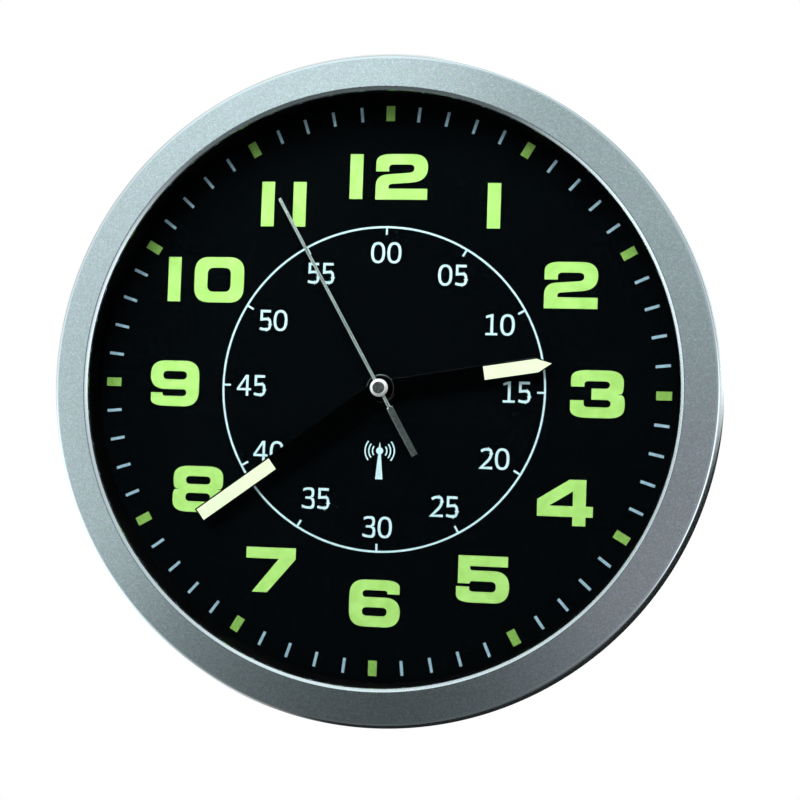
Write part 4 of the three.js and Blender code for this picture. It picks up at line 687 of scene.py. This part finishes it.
def make_dial():
    """The black disc, its lume numerals and blocks, its ticks and its ring."""
    profile = ring_profile(radius("dial") - HALF_HAIR, DIAL_BORE, dial_back, dial_face, DIAL_CHAMFER)
    dress(make_object("dial_plate", lathe_mesh("dial_plate", profile)), "dial_face", node="dial")
    for hour in range(1, 13):
        printed(f"numeral_{hour}", numeral_outlines(hour), "numeral_lume")
        block = bar(BLOCK_RADIUS, hour * HOUR_TURN, *BLOCK_SIZE)
        printed(f"hour_block_{hour}", [block], "block_lume")
    between_hours = [minute for minute in range(60) if minute % 5]
    ticks = [bar(BLOCK_RADIUS, minute * MINUTE_TURN, *TICK_SIZE) for minute in between_hours]
    printed("minute_ticks", ticks, "tick_paint")
    half = RING_LINE / 2
    outer = circle(RING_RADIUS + half, steps=RIM_STEPS)
    inner = circle(RING_RADIUS - half, steps=RIM_STEPS)
    printed("seconds_ring", [outer, inner], "white_print")
    reach = RING_RADIUS - half - RING_TICK / 2
    marks = [bar(reach, hour * HOUR_TURN, RING_LINE, RING_TICK) for hour in range(12)]
    printed("seconds_ring_ticks", marks, "white_print")


make_dial()

# Small numerals of the seconds, in a box 9.4 high with its lower left corner at zero

SECOND_HEIGHT = 9.4
SECOND_STROKE = 1.15
SECOND_GAP = 1.0
SECOND_PLACES = {
    "00": (0, 61.2), "05": (30.3, 51.5), "10": (52, 29.7), "15": (60.2, 0), "20": (51.3, -29.7),
    "25": (29.7, -51.6), "30": (0, -61.8), "35": (-28.3, -50), "40": (-50.7, -29.7),
    "45": (-59.8, 0), "50": (-50.7, 29.7), "55": (-29.6, 51.5),
}


def small_figure(figure):
    """Width and outlines of a thin figure of the seconds ring."""
    if figure == "0":
        outer = rounded(box_corners(0, -0.1, 6.4, 9.5, 9))
        return 6.4, [outer, rounded(box_corners(1.25, 1, 5.15, 8.4, 9))]
    if figure == "1":
        outline = [(0.2, 0), (5.5, 0), (5.5, 1), (3.6, 1), (3.6, 9.4), (2.8, 9.4), (0.3, 8.6), (0.3, 7.5),
                   (2.35, 8.1), (2.35, 1), (0.2, 1)]
        return 5.7, [rounded(outline)]
    if figure == "2":
        path = [(0.7, 7.9), (2.2, 8.85, 1.6), (5.2, 8.85, 2.7), (5.2, 5.2, 2.7), (0.75, 0.6), (5.8, 0.6)]
        return 5.9, [stroke(rounded(path, closed=False), SECOND_STROKE)]
    if figure == "3":
        outline = [(0.1, 0.5), (2, -0.1, 1.8), (5.9, -0.1, 3), (5.9, 4.6, 2.4), (4.3, 4.95),
                   (5.6, 5.3, 2.2), (5.6, 9.5, 2.8), (1.9, 9.5, 1.8), (0.5, 8.9), (0.5, 7.7),
                   (1.9, 8.4, 1.4), (4.4, 8.4, 1.8), (4.4, 5.4, 1.6), (1.6, 5.4), (1.6, 4.4),
                   (4.7, 4.4, 1.8), (4.7, 1, 2.2), (2.1, 1, 1.8), (0.1, 1.7)]
        return 5.9, [rounded(outline)]
    if figure == "4":
        outline = [(4.2, 0), (5.35, 0), (5.35, 2.4), (6.6, 2.4), (6.6, 3.4), (5.35, 3.4), (5.35, 9.4),
                   (4, 9.4), (0, 3.3), (0, 2.4), (4.2, 2.4)]
        hole = [(1.25, 3.4), (4.2, 3.4), (4.2, 7.9)]
        return 6.6, [rounded(outline), rounded(hole)]
    path = [(5.3, 8.85), (1.1, 8.85), (1.1, 5.1), (2.8, 5.3, 1.2), (5.1, 5.3, 2.6), (5.1, 0.5, 2.8),
            (2, 0.5, 1.6), (0.4, 1)]
    return 5.7, [stroke(rounded(path, closed=False), SECOND_STROKE)]


def seconds_outlines(text, x, y):
    """The outlines of a two-figure numeral, centred on its place."""
    figures = [small_figure(figure) for figure in text]
    left = x - (sum(width for width, _ in figures) + SECOND_GAP) / 2
    loops = []
    for width, outlines in figures:
        loops += [moved(loop, left, y - SECOND_HEIGHT / 2) for loop in outlines]
        left += width + SECOND_GAP
    return loops


for text, (x, y) in SECOND_PLACES.items():
    printed(f"seconds_{text}", seconds_outlines(text, x, y), "white_print", INK_THICKNESS, INK_EDGE)

# Radio mast symbol: a ball on a tapered mast with a spike, and three waves on each side

BALL_PLACE = -27.8
BALL_RADIUS = 1.6
MAST_FOOT = -40.5
MAST_WIDTHS = (1.2, 3.4)
SPIKE_TOP = -24.1
SPIKE_HALVES = (0.4, 0.12)
WAVES = ((3.25, 37), (4.9, 39), (6.6, 40))
WAVE_LINE = 0.6
WAVE_STEPS = 16


def make_mast():
    """The symbol's pieces, side by side so that none crosses another."""
    top, foot = (width / 2 for width in MAST_WIDTHS)
    neck = math.sqrt(BALL_RADIUS**2 - top**2)
    ball = circle(BALL_RADIUS, 0, BALL_PLACE)
    mast = [Vector(p) for p in ((-top, BALL_PLACE - neck), (-foot, MAST_FOOT), (foot, MAST_FOOT),
                                (top, BALL_PLACE - neck))]
    wide, narrow = SPIKE_HALVES
    spike = [Vector(p) for p in ((-wide, BALL_PLACE + BALL_RADIUS), (wide, BALL_PLACE + BALL_RADIUS),
                                 (narrow, SPIKE_TOP), (-narrow, SPIKE_TOP))]
    waves = []
    for reach, half_angle in WAVES:
        for side in (90, 270):
            path = moved(arc(reach, side - half_angle, side + half_angle, WAVE_STEPS), 0, BALL_PLACE)
            waves.append(stroke(path, WAVE_LINE))
    for part, outlines in (("ball", [ball]), ("pole", [mast]), ("spike", [spike]), ("waves", waves)):
        printed(f"mast_{part}", outlines, "white_print", INK_THICKNESS, INK_EDGE)


make_mast()

# Hands

HOUR_ANGLE = 80.4
MINUTE_ANGLE = 233.4
SECOND_ANGLE = 330.2
HOUR_HAND = dict(root=6.8, tip=7.4, shoulder=70.3, reach=77.2, hub=6.4, bore=2.35)
HOUR_LUME = dict(start=46.4, width=6.2, end=76.6)
MINUTE_HAND = dict(root=7.7, tip=7.0, shoulder=99.7, reach=99.7, hub=5.4, bore=1.6)
MINUTE_LUME = dict(start=58.8, width=6.0, end=99.1)
LUME_GAP = 0.1
BLADE_EDGE = 0.12
FINE_EDGE = 0.08
HUB_STEPS = 48
BUSH = (5.88, 6.15)
BUSH_PROUD = 0.14
BUSH_ROOT = 0.02
SECOND_HAND = dict(width=1.35, reach=96.7, hub=3.2, weight=2.8, weight_start=9.8, tail=33.8)
SECOND_BORE = 0.7
SECOND_DEPTH = 0.6
SECOND_EDGE = 0.1
RAIL_WIDTH = 0.36
RAIL_PROUD = 0.15
RAIL_ROOT = 0.05
RAIL_END_GAP = 0.1


def turned(degrees):
    """The turn that brings a hand drawn at twelve to its clock angle."""
    return Matrix.Rotation(math.radians(-degrees), 4, "Z")


def blade_outline(root, tip, shoulder, reach, hub, bore):
    """A tapered blade with a round hub, drawn at twelve, and its bore."""
    half = math.degrees(math.asin(root / 2 / hub))
    outline = arc(hub, half, 360 - half, HUB_STEPS)
    outline.append(Vector((-tip / 2, shoulder)))
    if reach > shoulder:
        outline.append(Vector((0, reach)))
    outline.append(Vector((tip / 2, shoulder)))
    return [outline, circle(bore)]


def lume_outline(hand, start, width, end):
    """The insert of a hand, a little smaller than its pocket."""
    half = width / 2 - LUME_GAP
    foot = start + LUME_GAP
    shoulder = min(hand["shoulder"], end) - LUME_GAP
    corners = [(-half, foot), (half, foot), (half, shoulder)]
    if hand["reach"] > hand["shoulder"]:
        corners.append((0, end - LUME_GAP))
    corners.append((-half, shoulder))
    return [[Vector(corner) for corner in corners]]


def make_lumed_hand(kind, hand, lume, angle):
    """A black blade with its pale insert."""
    body = kind + "_shaft"
    blade = flat_mesh(kind, blade_outline(**hand), *depths(kind), BLADE_EDGE)
    dress(make_object(kind + "_blade", blade, turned(angle)), "hand_black", body, node=kind)
    insert = flat_mesh(kind, lume_outline(hand, **lume), *depths(kind + "_lume"), FINE_EDGE)
    dress(make_object(kind + "_insert", insert, turned(angle)), "lume", body, node=kind + "_lume")


def make_second_hand():
    """A narrow needle with a raised rail along each edge, the rails paler and less metallic as a painted
    highlight, a hub and a wider tail.
    """
    high = depths("second_hand")[1]
    width, reach, hub, weight, start, tail = SECOND_HAND.values()
    half = math.degrees(math.asin(width / 2 / hub))
    outline = arc(hub, half, 180 - half, HUB_STEPS // 2)
    outline += [Vector(p) for p in ((width / 2, -start), (weight / 2, -start), (weight / 2, -tail),
                                    (-weight / 2, -tail), (-weight / 2, -start), (-width / 2, -start))]
    outline += arc(hub, 180 + half, 360 - half, HUB_STEPS // 2)
    outline += [Vector((-width / 2, reach)), Vector((width / 2, reach))]
    loops = [outline, circle(SECOND_BORE)]
    needle = flat_mesh("second_hand", loops, high - SECOND_DEPTH, high - RAIL_PROUD, SECOND_EDGE)
    dress(make_object("second_hand_needle", needle, turned(SECOND_ANGLE)), "hand_silver",
          "second_hand_shaft", node="second_hand")
    lines = []
    for side in (-1, 1):
        x = side * (width - RAIL_WIDTH) / 2
        for low_end, high_end in ((hub, reach - RAIL_END_GAP), (-hub, -start)):
            lines.append(stroke([Vector((x, low_end)), Vector((x, high_end))], RAIL_WIDTH))
    rails = flat_mesh("second_hand_rails", lines, high - RAIL_PROUD - RAIL_ROOT, high, FINE_EDGE)
    dress(make_object("second_hand_rails", rails, turned(SECOND_ANGLE)), "rail_silver_highlight", "second_hand_shaft")


def make_bush():
    """The metal rim of the bush that holds the hour hand on its pipe, sloping outwards."""
    front = depths("hour_hand")[1]
    root = front - BUSH_ROOT
    inner, outer = BUSH
    profile = [(inner, root), (outer, root), (outer, front), (inner, front + BUSH_PROUD)]
    bush = lathe_mesh("hour_hand_bush", profile, SMALL_STEPS * 2)
    dress(make_object("hour_hand_bush", bush), "bush_dark", "hour_hand_shaft")


make_bush()
make_lumed_hand("hour_hand", HOUR_HAND, HOUR_LUME, HOUR_ANGLE)
make_lumed_hand("minute_hand", MINUTE_HAND, MINUTE_LUME, MINUTE_ANGLE)
make_second_hand()

CAP_FLAT = 2.8
CAP_RIM = 0.8
CAP_ROUND = 0.3
CAP_CROWN = 0.1
CAP_FACE = 2.65
CAP_FACE_ROOT = 0.12
CAP_FACE_EDGE = 0.06
CAP_FACE_CROWN = 0.02


def make_cap():
    """The turned cap: an upright rim, a satin cone painted near white, partly a painted highlight, and a
    polished, hardly crowned middle.
    """
    low, high = depths("second_hand_cap")
    reach = radius("second_hand_cap") - HAIR
    top = high - CAP_CROWN
    side = [(0, low), (reach, low), (reach, low + CAP_RIM, CAP_ROUND), (CAP_FLAT, top, CAP_ROUND), (0, top)]
    profile = [tuple(p) for p in rounded(side, closed=False)]
    dress(make_object("hand_cap", lathe_mesh("hand_cap", profile, SMALL_STEPS)), "cap_satin_highlight",
          "second_hand_shaft", node="second_hand_cap")
    root = high - CAP_FACE_ROOT
    profile = [(0, root), (CAP_FACE, root), (CAP_FACE, high - CAP_FACE_EDGE),
               (CAP_FACE - CAP_FACE_EDGE, high - CAP_FACE_CROWN), (0, high)]
    dress(make_object("hand_cap_face", lathe_mesh("hand_cap_face", profile, SMALL_STEPS)), "cap_chrome",
          "second_hand_shaft")


make_cap()

# Battery

BATTERY_ROUND = 0.8
NUB_RADIUS = 2.7
NUB_LENGTH = 1.2
NUB_ROUND = 0.4


def make_battery():
    """A round cell lying across the bay, its nub towards positive x."""
    low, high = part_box("battery")
    reach = (high.z - low.z) / 2 / MM - HAIR
    half = (high.x - low.x) / 2 / MM - HAIR
    centre = TO_ROW.inverted() @ ((low + high) / 2)
    end = half - NUB_LENGTH
    side = [(0, -half), (reach, -half, BATTERY_ROUND), (reach, end, BATTERY_ROUND), (NUB_RADIUS, end),
            (NUB_RADIUS, half, NUB_ROUND), (0, half)]
    profile = [tuple(p) for p in rounded(side, closed=False)]
    lying = Matrix.Translation(centre) @ Matrix.Rotation(math.pi / 2, 4, "Y")
    cell = make_object("battery_cell", lathe_mesh("battery_cell", profile, SMALL_STEPS * 2), lying)
    dress(cell, "battery_sleeve", node="battery")


make_battery()

# Moulded details of the back, each standing a little proud of the plate or of the movement

plate_back = depths("back_case")[0]
movement_back = depths("movement_rear_housing")[0]
ROOT = 0.05
LINE_PROUD = 0.35
FRAME_PROUD = 0.8
RIM_PROUD = 1.0
LINE_EDGE = 0.12
FRAME_EDGE = 0.25
RIM_REACH = (145.9, 147.1)
BEAD_REACH = (117.6, 119)
SCREW_REACH = 141.6
SCREW_COUNT = 6
SCREW_PAD = (3.1, 4.1)
KEYHOLE_ENTRY = 87
KEYHOLE_TOP = 98
ENTRY_RADIUS = 5
SLOT_HALF = 2.5
KEYHOLE_FRAME = (0.3, 2.3)
WINDOW = (32.95, -51.6, 43, 5)
WINDOW_FRAME = (0.3, 2.2)
PANEL = (28.5, -15, 38, 3)
PANEL_LINE = 0.8
BOSS_RING = (8.2, 9.4)
BAY = (27.1, -49.4, -33.9, 0.6)
BAY_LINE = 0.6
BUTTON_PLACES = ((20, 2.3), (11, 2.3), (3, 1.2))
BUTTON_HEIGHT = -22.1
BUTTON_RING = (0.5, 1.2)
MARK_PLACE = (29.6, -41.65)
MARK_SIZE = 2.6
MARK_LINE = 0.7


def block_outline(half_width, low, high, corner, grow=0.0):
    """A rounded rectangle across the axis, grown outwards."""
    side = half_width + grow
    return rounded(box_corners(-side, low - grow, side, high + grow, corner + grow))


def keyhole_outline(grow):
    """The keyhole's round entry and its narrower slot above, grown outwards."""
    entry = ENTRY_RADIUS + grow
    slot = SLOT_HALF + grow
    open_angle = math.degrees(math.asin(slot / entry))
    outline = moved(arc(entry, open_angle, 360 - open_angle, SMALL_STEPS), 0, KEYHOLE_ENTRY)
    return outline + moved(arc(slot, -90, 90, SMALL_STEPS // 2), 0, KEYHOLE_TOP)


def proud_of(back, name, outlines, height, edge=LINE_EDGE, look="case_plastic"):
    """A flat moulding that stands that high on the back of a wall."""
    mesh = flat_mesh(name, outlines, back - height, back + ROOT, edge)
    dress(make_object(name, mesh), look)


def ring_outlines(inner, outer, x=0.0, y=0.0, steps=SMALL_STEPS):
    """The two circles of a ring."""
    return [circle(outer, x, y, steps), circle(inner, x, y, steps)]


def make_back():
    """Rim, bead, frames and pads of the plate."""
    proud_of(plate_back, "back_rim", ring_outlines(*RIM_REACH, steps=RIM_STEPS), RIM_PROUD, FRAME_EDGE)
    proud_of(plate_back, "back_bead", ring_outlines(*BEAD_REACH, steps=RIM_STEPS), LINE_PROUD)
    pads = []
    for i in range(SCREW_COUNT):
        centre = clockwise(SCREW_REACH, (i + 0.5) * 360 / SCREW_COUNT)
        pads += ring_outlines(*SCREW_PAD, centre.x, centre.y)
    proud_of(plate_back, "screw_pads", pads, LINE_PROUD)
    keyhole = [keyhole_outline(grow) for grow in reversed(KEYHOLE_FRAME)]
    proud_of(plate_back, "keyhole_frame", keyhole, FRAME_PROUD, FRAME_EDGE)
    window = [block_outline(*WINDOW, grow) for grow in reversed(WINDOW_FRAME)]
    proud_of(plate_back, "window_frame", window, FRAME_PROUD, FRAME_EDGE)


def make_movement_lines():
    """The raised lines of the movement, and the signs of the battery's poles."""
    rings = []
    for x, reach in BUTTON_PLACES:
        inner, outer = (reach + gap for gap in BUTTON_RING)
        rings += ring_outlines(inner, outer, x, BUTTON_HEIGHT)
    raised = {
        "movement_panel_line": [block_outline(*PANEL, grow) for grow in (PANEL_LINE, 0)],
        "movement_boss_ring": ring_outlines(*BOSS_RING),
        "battery_bay_line": [block_outline(*BAY, grow) for grow in (BAY_LINE, 0)],
        "button_rings": rings,
    }
    for name, outlines in raised.items():
        proud_of(movement_back, name, outlines, LINE_PROUD, look="black_plastic")
    x, y = MARK_PLACE
    level = stroke([Vector((-MARK_SIZE / 2, 0)), Vector((MARK_SIZE / 2, 0))], MARK_LINE)
    upright = [Vector((0, -MARK_SIZE / 2)), Vector((0, -MARK_LINE / 2))]
    plus = [level, stroke(upright, MARK_LINE), stroke([-point for point in upright], MARK_LINE)]
    marks = {"plus_mark": [moved(outline, x, y) for outline in plus], "minus_mark": [moved(level, -x, y)]}
    for name, outlines in marks.items():
        proud_of(movement_back, name, outlines, LINE_PROUD, FINE_EDGE, "mark_plastic")


make_back()
make_movement_lines()

# Solids whose shape stays get their material

CARRIED = {
    "case_plastic": ("back_case",),
    "black_plastic": ("movement_front_housing", "movement_rear_housing", "receiver_chip"),
    "black_rubber": ("rubber_washer",),
    "nut_brass": ("shaft_nut",),
    "white_plastic": (
        "train_plate", "train_bridge", "hour_wheel", "minute_wheel", "second_wheel", "motion_work_wheel",
        "minute_inner_wheel", "minute_outer_wheel", "second_inner_wheel", "receive_button", "set_button",
        "reset_button",
    ),
    "magnet": ("minute_rotor", "second_rotor"),
    "coil_wire": ("minute_coil", "second_coil", "antenna_coil"),
    "board_green": ("circuit_board",),
    "ferrite": ("ferrite_rod",),
    "steel": (
        "steel_washer", "minute_stator", "second_stator", "clock_crystal", "receiver_crystal",
        "battery_positive_contact", "battery_negative_contact",
        *(f"case_screw_{i + 1}" for i in range(SCREW_COUNT)),
    ),
}
for look, names in CARRIED.items():
    for name in names:
        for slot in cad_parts[name].material_slots:
            slot.material = materials[look]

SOFT_EDGES = {"back_case": 0.3, "movement_rear_housing": 0.3, "receive_button": 0.25, "set_button": 0.25,
              "reset_button": 0.2}
SOFT_ANGLE = 50
SOFT_SEGMENTS = 2
for name, width in SOFT_EDGES.items():
    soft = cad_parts[name].modifiers.new("soft_edges", "BEVEL")
    soft.width = width * MM
    soft.segments = SOFT_SEGMENTS
    soft.limit_method = "ANGLE"
    soft.angle_limit = math.radians(SOFT_ANGLE)
    soft.harden_normals = True

# Camera, at the place that the photograph was taken from

CAMERA_PLACE = Vector((0.09078, -0.62476, -0.12763))
CAMERA_AIM = Vector((0.00834, -0.0225, -0.10281))
CAMERA_ROLL = 1.8802
CAMERA_LENS = 61.265
SENSOR_WIDTH = 36
NEAR_CLIP = 0.01


def make_camera():
    """The camera, looking at its aim and rolled a little clockwise."""
    data = bpy.data.cameras.new("camera")
    data.lens = CAMERA_LENS
    data.sensor_width = SENSOR_WIDTH
    data.clip_start = NEAR_CLIP
    camera = bpy.data.objects.new("camera", data)
    aimed = (CAMERA_AIM - CAMERA_PLACE).to_track_quat("-Z", "Y").to_matrix().to_4x4()
    roll = Matrix.Rotation(math.radians(CAMERA_ROLL), 4, "Z")
    camera.matrix_world = Matrix.Translation(CAMERA_PLACE) @ aimed @ roll
    link(camera)
    bpy.context.scene.camera = camera


make_camera()

# Lamps, floor and world

# Clock angle, rise out of the dial's plane, distance, size across and power
LAMPS = {
    "key_lamp": (345, 45, 0.72, 0.5, 4.5),
    "fill_lamp": (265, 40, 1.5, 0.9, 2.1),
    "rear_lamp": (30, -24, 1.1, 0.5, 7),
}

# Ray depths: through both faces of the pane, and the step between no bounce and one
PANE_FACES = 2
HALF_BOUNCE = 0.5


def hide_disc(data):
    """Puts the lamp out for rays mirrored inside the pane, where its disc would show."""
    data.use_nodes = True
    tree = data.node_tree
    path = add(tree, "LightPath").outputs
    direct = sum_of(tree, "LESS_THAN", path["Diffuse Depth"], HALF_BOUNCE)
    in_and_out = sum_of(tree, "COMPARE", path["Transmission Depth"], PANE_FACES)
    mirrored = sum_of(tree, "GREATER_THAN", path["Glossy Depth"], HALF_BOUNCE)
    seen = sum_of(tree, "MULTIPLY", sum_of(tree, "MULTIPLY", in_and_out, mirrored), direct)
    tree.links.new(sum_of(tree, "SUBTRACT", 1.0, seen), tree.nodes["Emission"].inputs["Strength"])


def area_lamp(name, degrees, rise, distance, size, power):
    """A soft round lamp, aimed at the dial."""
    data = bpy.data.lights.new(name, "AREA")
    data.shape = "DISK"
    data.size = size
    data.energy = power
    hide_disc(data)
    lamp = bpy.data.objects.new(name, data)
    flat = clockwise(math.cos(math.radians(rise)), degrees)
    out = Vector((flat.x, -math.sin(math.radians(rise)), flat.y))
    lamp.location = axis + out * distance
    lamp.rotation_euler = (-out).to_track_quat("-Z", "Y").to_euler()
    lamp.visible_glossy = False
    lamp.visible_camera = False
    link(lamp)


for name, place in LAMPS.items():
    area_lamp(name, *place)

FLOOR_DROP = 0.42
FLOOR_RADIUS = 1.3
FLOOR_GLOW = 0.5
FLOOR_LOOK = ((232, 232, 232), (238, 238, 238), (0.8, 0.9), 8, 200, 0.0001)


def floor_paint():
    """Pale paint, lifted towards white for the camera, so that a shadow still shows."""
    made = finish("floor_paint", *FLOOR_LOOK)
    tree = made.node_tree
    shader = tree.nodes["Principled BSDF"]
    shader.inputs["Emission Color"].default_value = WHITE
    camera_ray = add(tree, "LightPath").outputs["Is Camera Ray"]
    tree.links.new(sum_of(tree, "MULTIPLY", camera_ray, FLOOR_GLOW), shader.inputs["Emission Strength"])
    return made


def make_floor():
    """A plain pale round floor, well below the clock."""
    mesh = lathe_mesh("floor", [(0, 0), (FLOOR_RADIUS / MM, 0)], SMALL_STEPS)
    floor = bpy.data.objects.new("floor", mesh)
    floor.scale = (MM, MM, MM)
    floor.location.z = cad_low.z - FLOOR_DROP
    link(floor)
    mesh.materials.append(floor_paint())
    floor.visible_glossy = False
    floor.visible_transmission = False


make_floor()

AMBIENT = (0.25, 0.26, 0.27, 1)
DARK_ROOM = (0.002, 0.002, 0.0025, 1)
PANE_MIRROR = (-0.13, -0.99, 0.05)
MAUVE_SIDE = 120
MAUVE = (1.04, 0.95, 1.03, 1)
PALE_GREEN = (0.93, 1, 0.995, 1)
PAPER = 1.05
BRIGHT_SIDE = 45
LIGHT_TILT = 0.12
DARK_LEAN = 0.85
LEAST_LEAN = 0.05
LEFT_SHARE = 0.35

# Ramps of the surroundings: the value before and after, and where the change begins and ends
LOW_LIGHT = (0.05, 0.31, -1, -0.64)
CEILING = (0, 0.32, -0.1, 0.97)
BESIDE_MIRROR = (1, 0, 0.8, 0.9)
MAUVE_PART = (0, 1, 0.7, 0.97)
BAND_START = (0, 0.5, 0.15, 0.35)
BAND_END = (1, 0, 0.55, 0.75)
BRIGHT_PAPER = (0, 1.3, 0.6, 0.8)
FAR_BEHIND = (0, 1, 0.6, 0.75)
DARK_PLACE = (0.09, 0.003, 0.3, 0.7)
ABOVE_DARK = (1, 0, 0.5, 0.84)
BESIDE_CLOCK = (0, 1, -0.38, -0.12)

# Sides of the surroundings: clock angle, change of brightness, and the leaning where it begins and is full
ROOM_SIDES = ((302, 0.4, 0.3, 0.66), (16, -0.09, 0.94, 0.995))
PAPER_SIDES = (
    (50, -0.33, 0.82, 0.98), (105, 0.6, 0.87, 0.96), (243, 0.5, 0.85, 0.97), (298, -0.2, 0.94, 0.995),
)


def along(tree, direction, other):
    """The share of a direction that goes along another one."""
    return add(tree, "VectorMath", {0: direction, 1: other}, operation="DOT_PRODUCT").outputs["Value"]


def leaning(tree, flat, degrees):
    """How much a level direction leans to that clock angle, from -1 to 1."""
    side = clockwise(1, degrees)
    return along(tree, flat, (side.x, 0, side.y))


def sided(tree, flat, brightness, sides):
    """A brightness, changed towards each of the sides."""
    for degrees, change, start, end in sides:
        part = spread(tree, leaning(tree, flat, degrees), 0, change, start, end)
        brightness = sum_of(tree, "ADD", brightness, part)
    return brightness


def room_before(tree, toward, flat, across, up):
    """What lay before the clock: dark straight ahead, a ceiling above, a window at the upper left."""
    rise = sum_of(tree, "ADD", up, sum_of(tree, "MULTIPLY", across, LIGHT_TILT))
    room = sum_of(tree, "ADD", spread(tree, rise, *LOW_LIGHT), spread(tree, up, *CEILING))
    room = sided(tree, flat, room, ROOM_SIDES)
    beside = spread(tree, along(tree, toward, PANE_MIRROR), *BESIDE_MIRROR)
    room = sum_of(tree, "MULTIPLY", room, beside)
    mauve = spread(tree, leaning(tree, flat, MAUVE_SIDE), *MAUVE_PART)
    return mixed(tree, room, DARK_ROOM, mixed(tree, mauve, PALE_GREEN, MAUVE))


def paper_behind(tree, flat, across, y, up):
    """What lay beside and behind the clock: pale paper, dark below and to the lower right."""
    band = sum_of(tree, "MULTIPLY", spread(tree, y, *BAND_START), spread(tree, y, *BAND_END))
    paper = sided(tree, flat, PAPER, PAPER_SIDES)
    paper = sum_of(tree, "MULTIPLY", paper, sum_of(tree, "SUBTRACT", 1.0, band))
    bright = spread(tree, leaning(tree, flat, BRIGHT_SIDE), *BRIGHT_PAPER)
    bright = sum_of(tree, "MULTIPLY", bright, spread(tree, y, *FAR_BEHIND))
    paper = sum_of(tree, "ADD", paper, bright)
    behind = sum_of(tree, "MAXIMUM", y, 0)
    lean = sum_of(tree, "ADD", sum_of(tree, "MULTIPLY", behind, DARK_LEAN), LEAST_LEAN)
    aside = sum_of(tree, "MAXIMUM", across, sum_of(tree, "MULTIPLY", across, LEFT_SHARE))
    below = sum_of(tree, "SUBTRACT", sum_of(tree, "MULTIPLY", aside, lean), up)
    dark = spread(tree, y, *DARK_PLACE)
    return mixed(tree, spread(tree, below, *ABOVE_DARK), dark, paper)


def make_world():
    """White for the camera; gloss sees the room before the clock and the paper behind it."""
    world = bpy.data.worlds.new("studio")
    bpy.context.scene.world = world
    world.use_nodes = True
    world.cycles.sampling_method = "NONE"
    tree = world.node_tree
    path = add(tree, "LightPath").outputs
    toward = add(tree, "TexCoord").outputs["Generated"]
    y = add(tree, "SeparateXYZ", {0: toward}).outputs[1]
    flat = add(tree, "VectorMath", {0: toward, 1: (1, 0, 1)}, operation="MULTIPLY").outputs[0]
    flat = add(tree, "VectorMath", {0: flat}, operation="NORMALIZE").outputs[0]
    across, _, up = add(tree, "SeparateXYZ", {0: flat}).outputs

    room = room_before(tree, toward, flat, across, up)
    paper = paper_behind(tree, flat, across, y, up)
    around = mixed(tree, spread(tree, y, *BESIDE_CLOCK), room, paper)

    gloss = sum_of(tree, "MAXIMUM", path["Is Glossy Ray"], path["Is Transmission Ray"])
    direct = sum_of(tree, "LESS_THAN", path["Diffuse Depth"], HALF_BOUNCE)
    seen = mixed(tree, sum_of(tree, "MULTIPLY", gloss, direct), AMBIENT, around)
    seen = mixed(tree, path["Is Camera Ray"], seen, WHITE)
    tree.links.new(seen, tree.nodes["Background"].inputs["Color"])


make_world()
bpy.context.scene.view_settings.view_transform = "Standard"
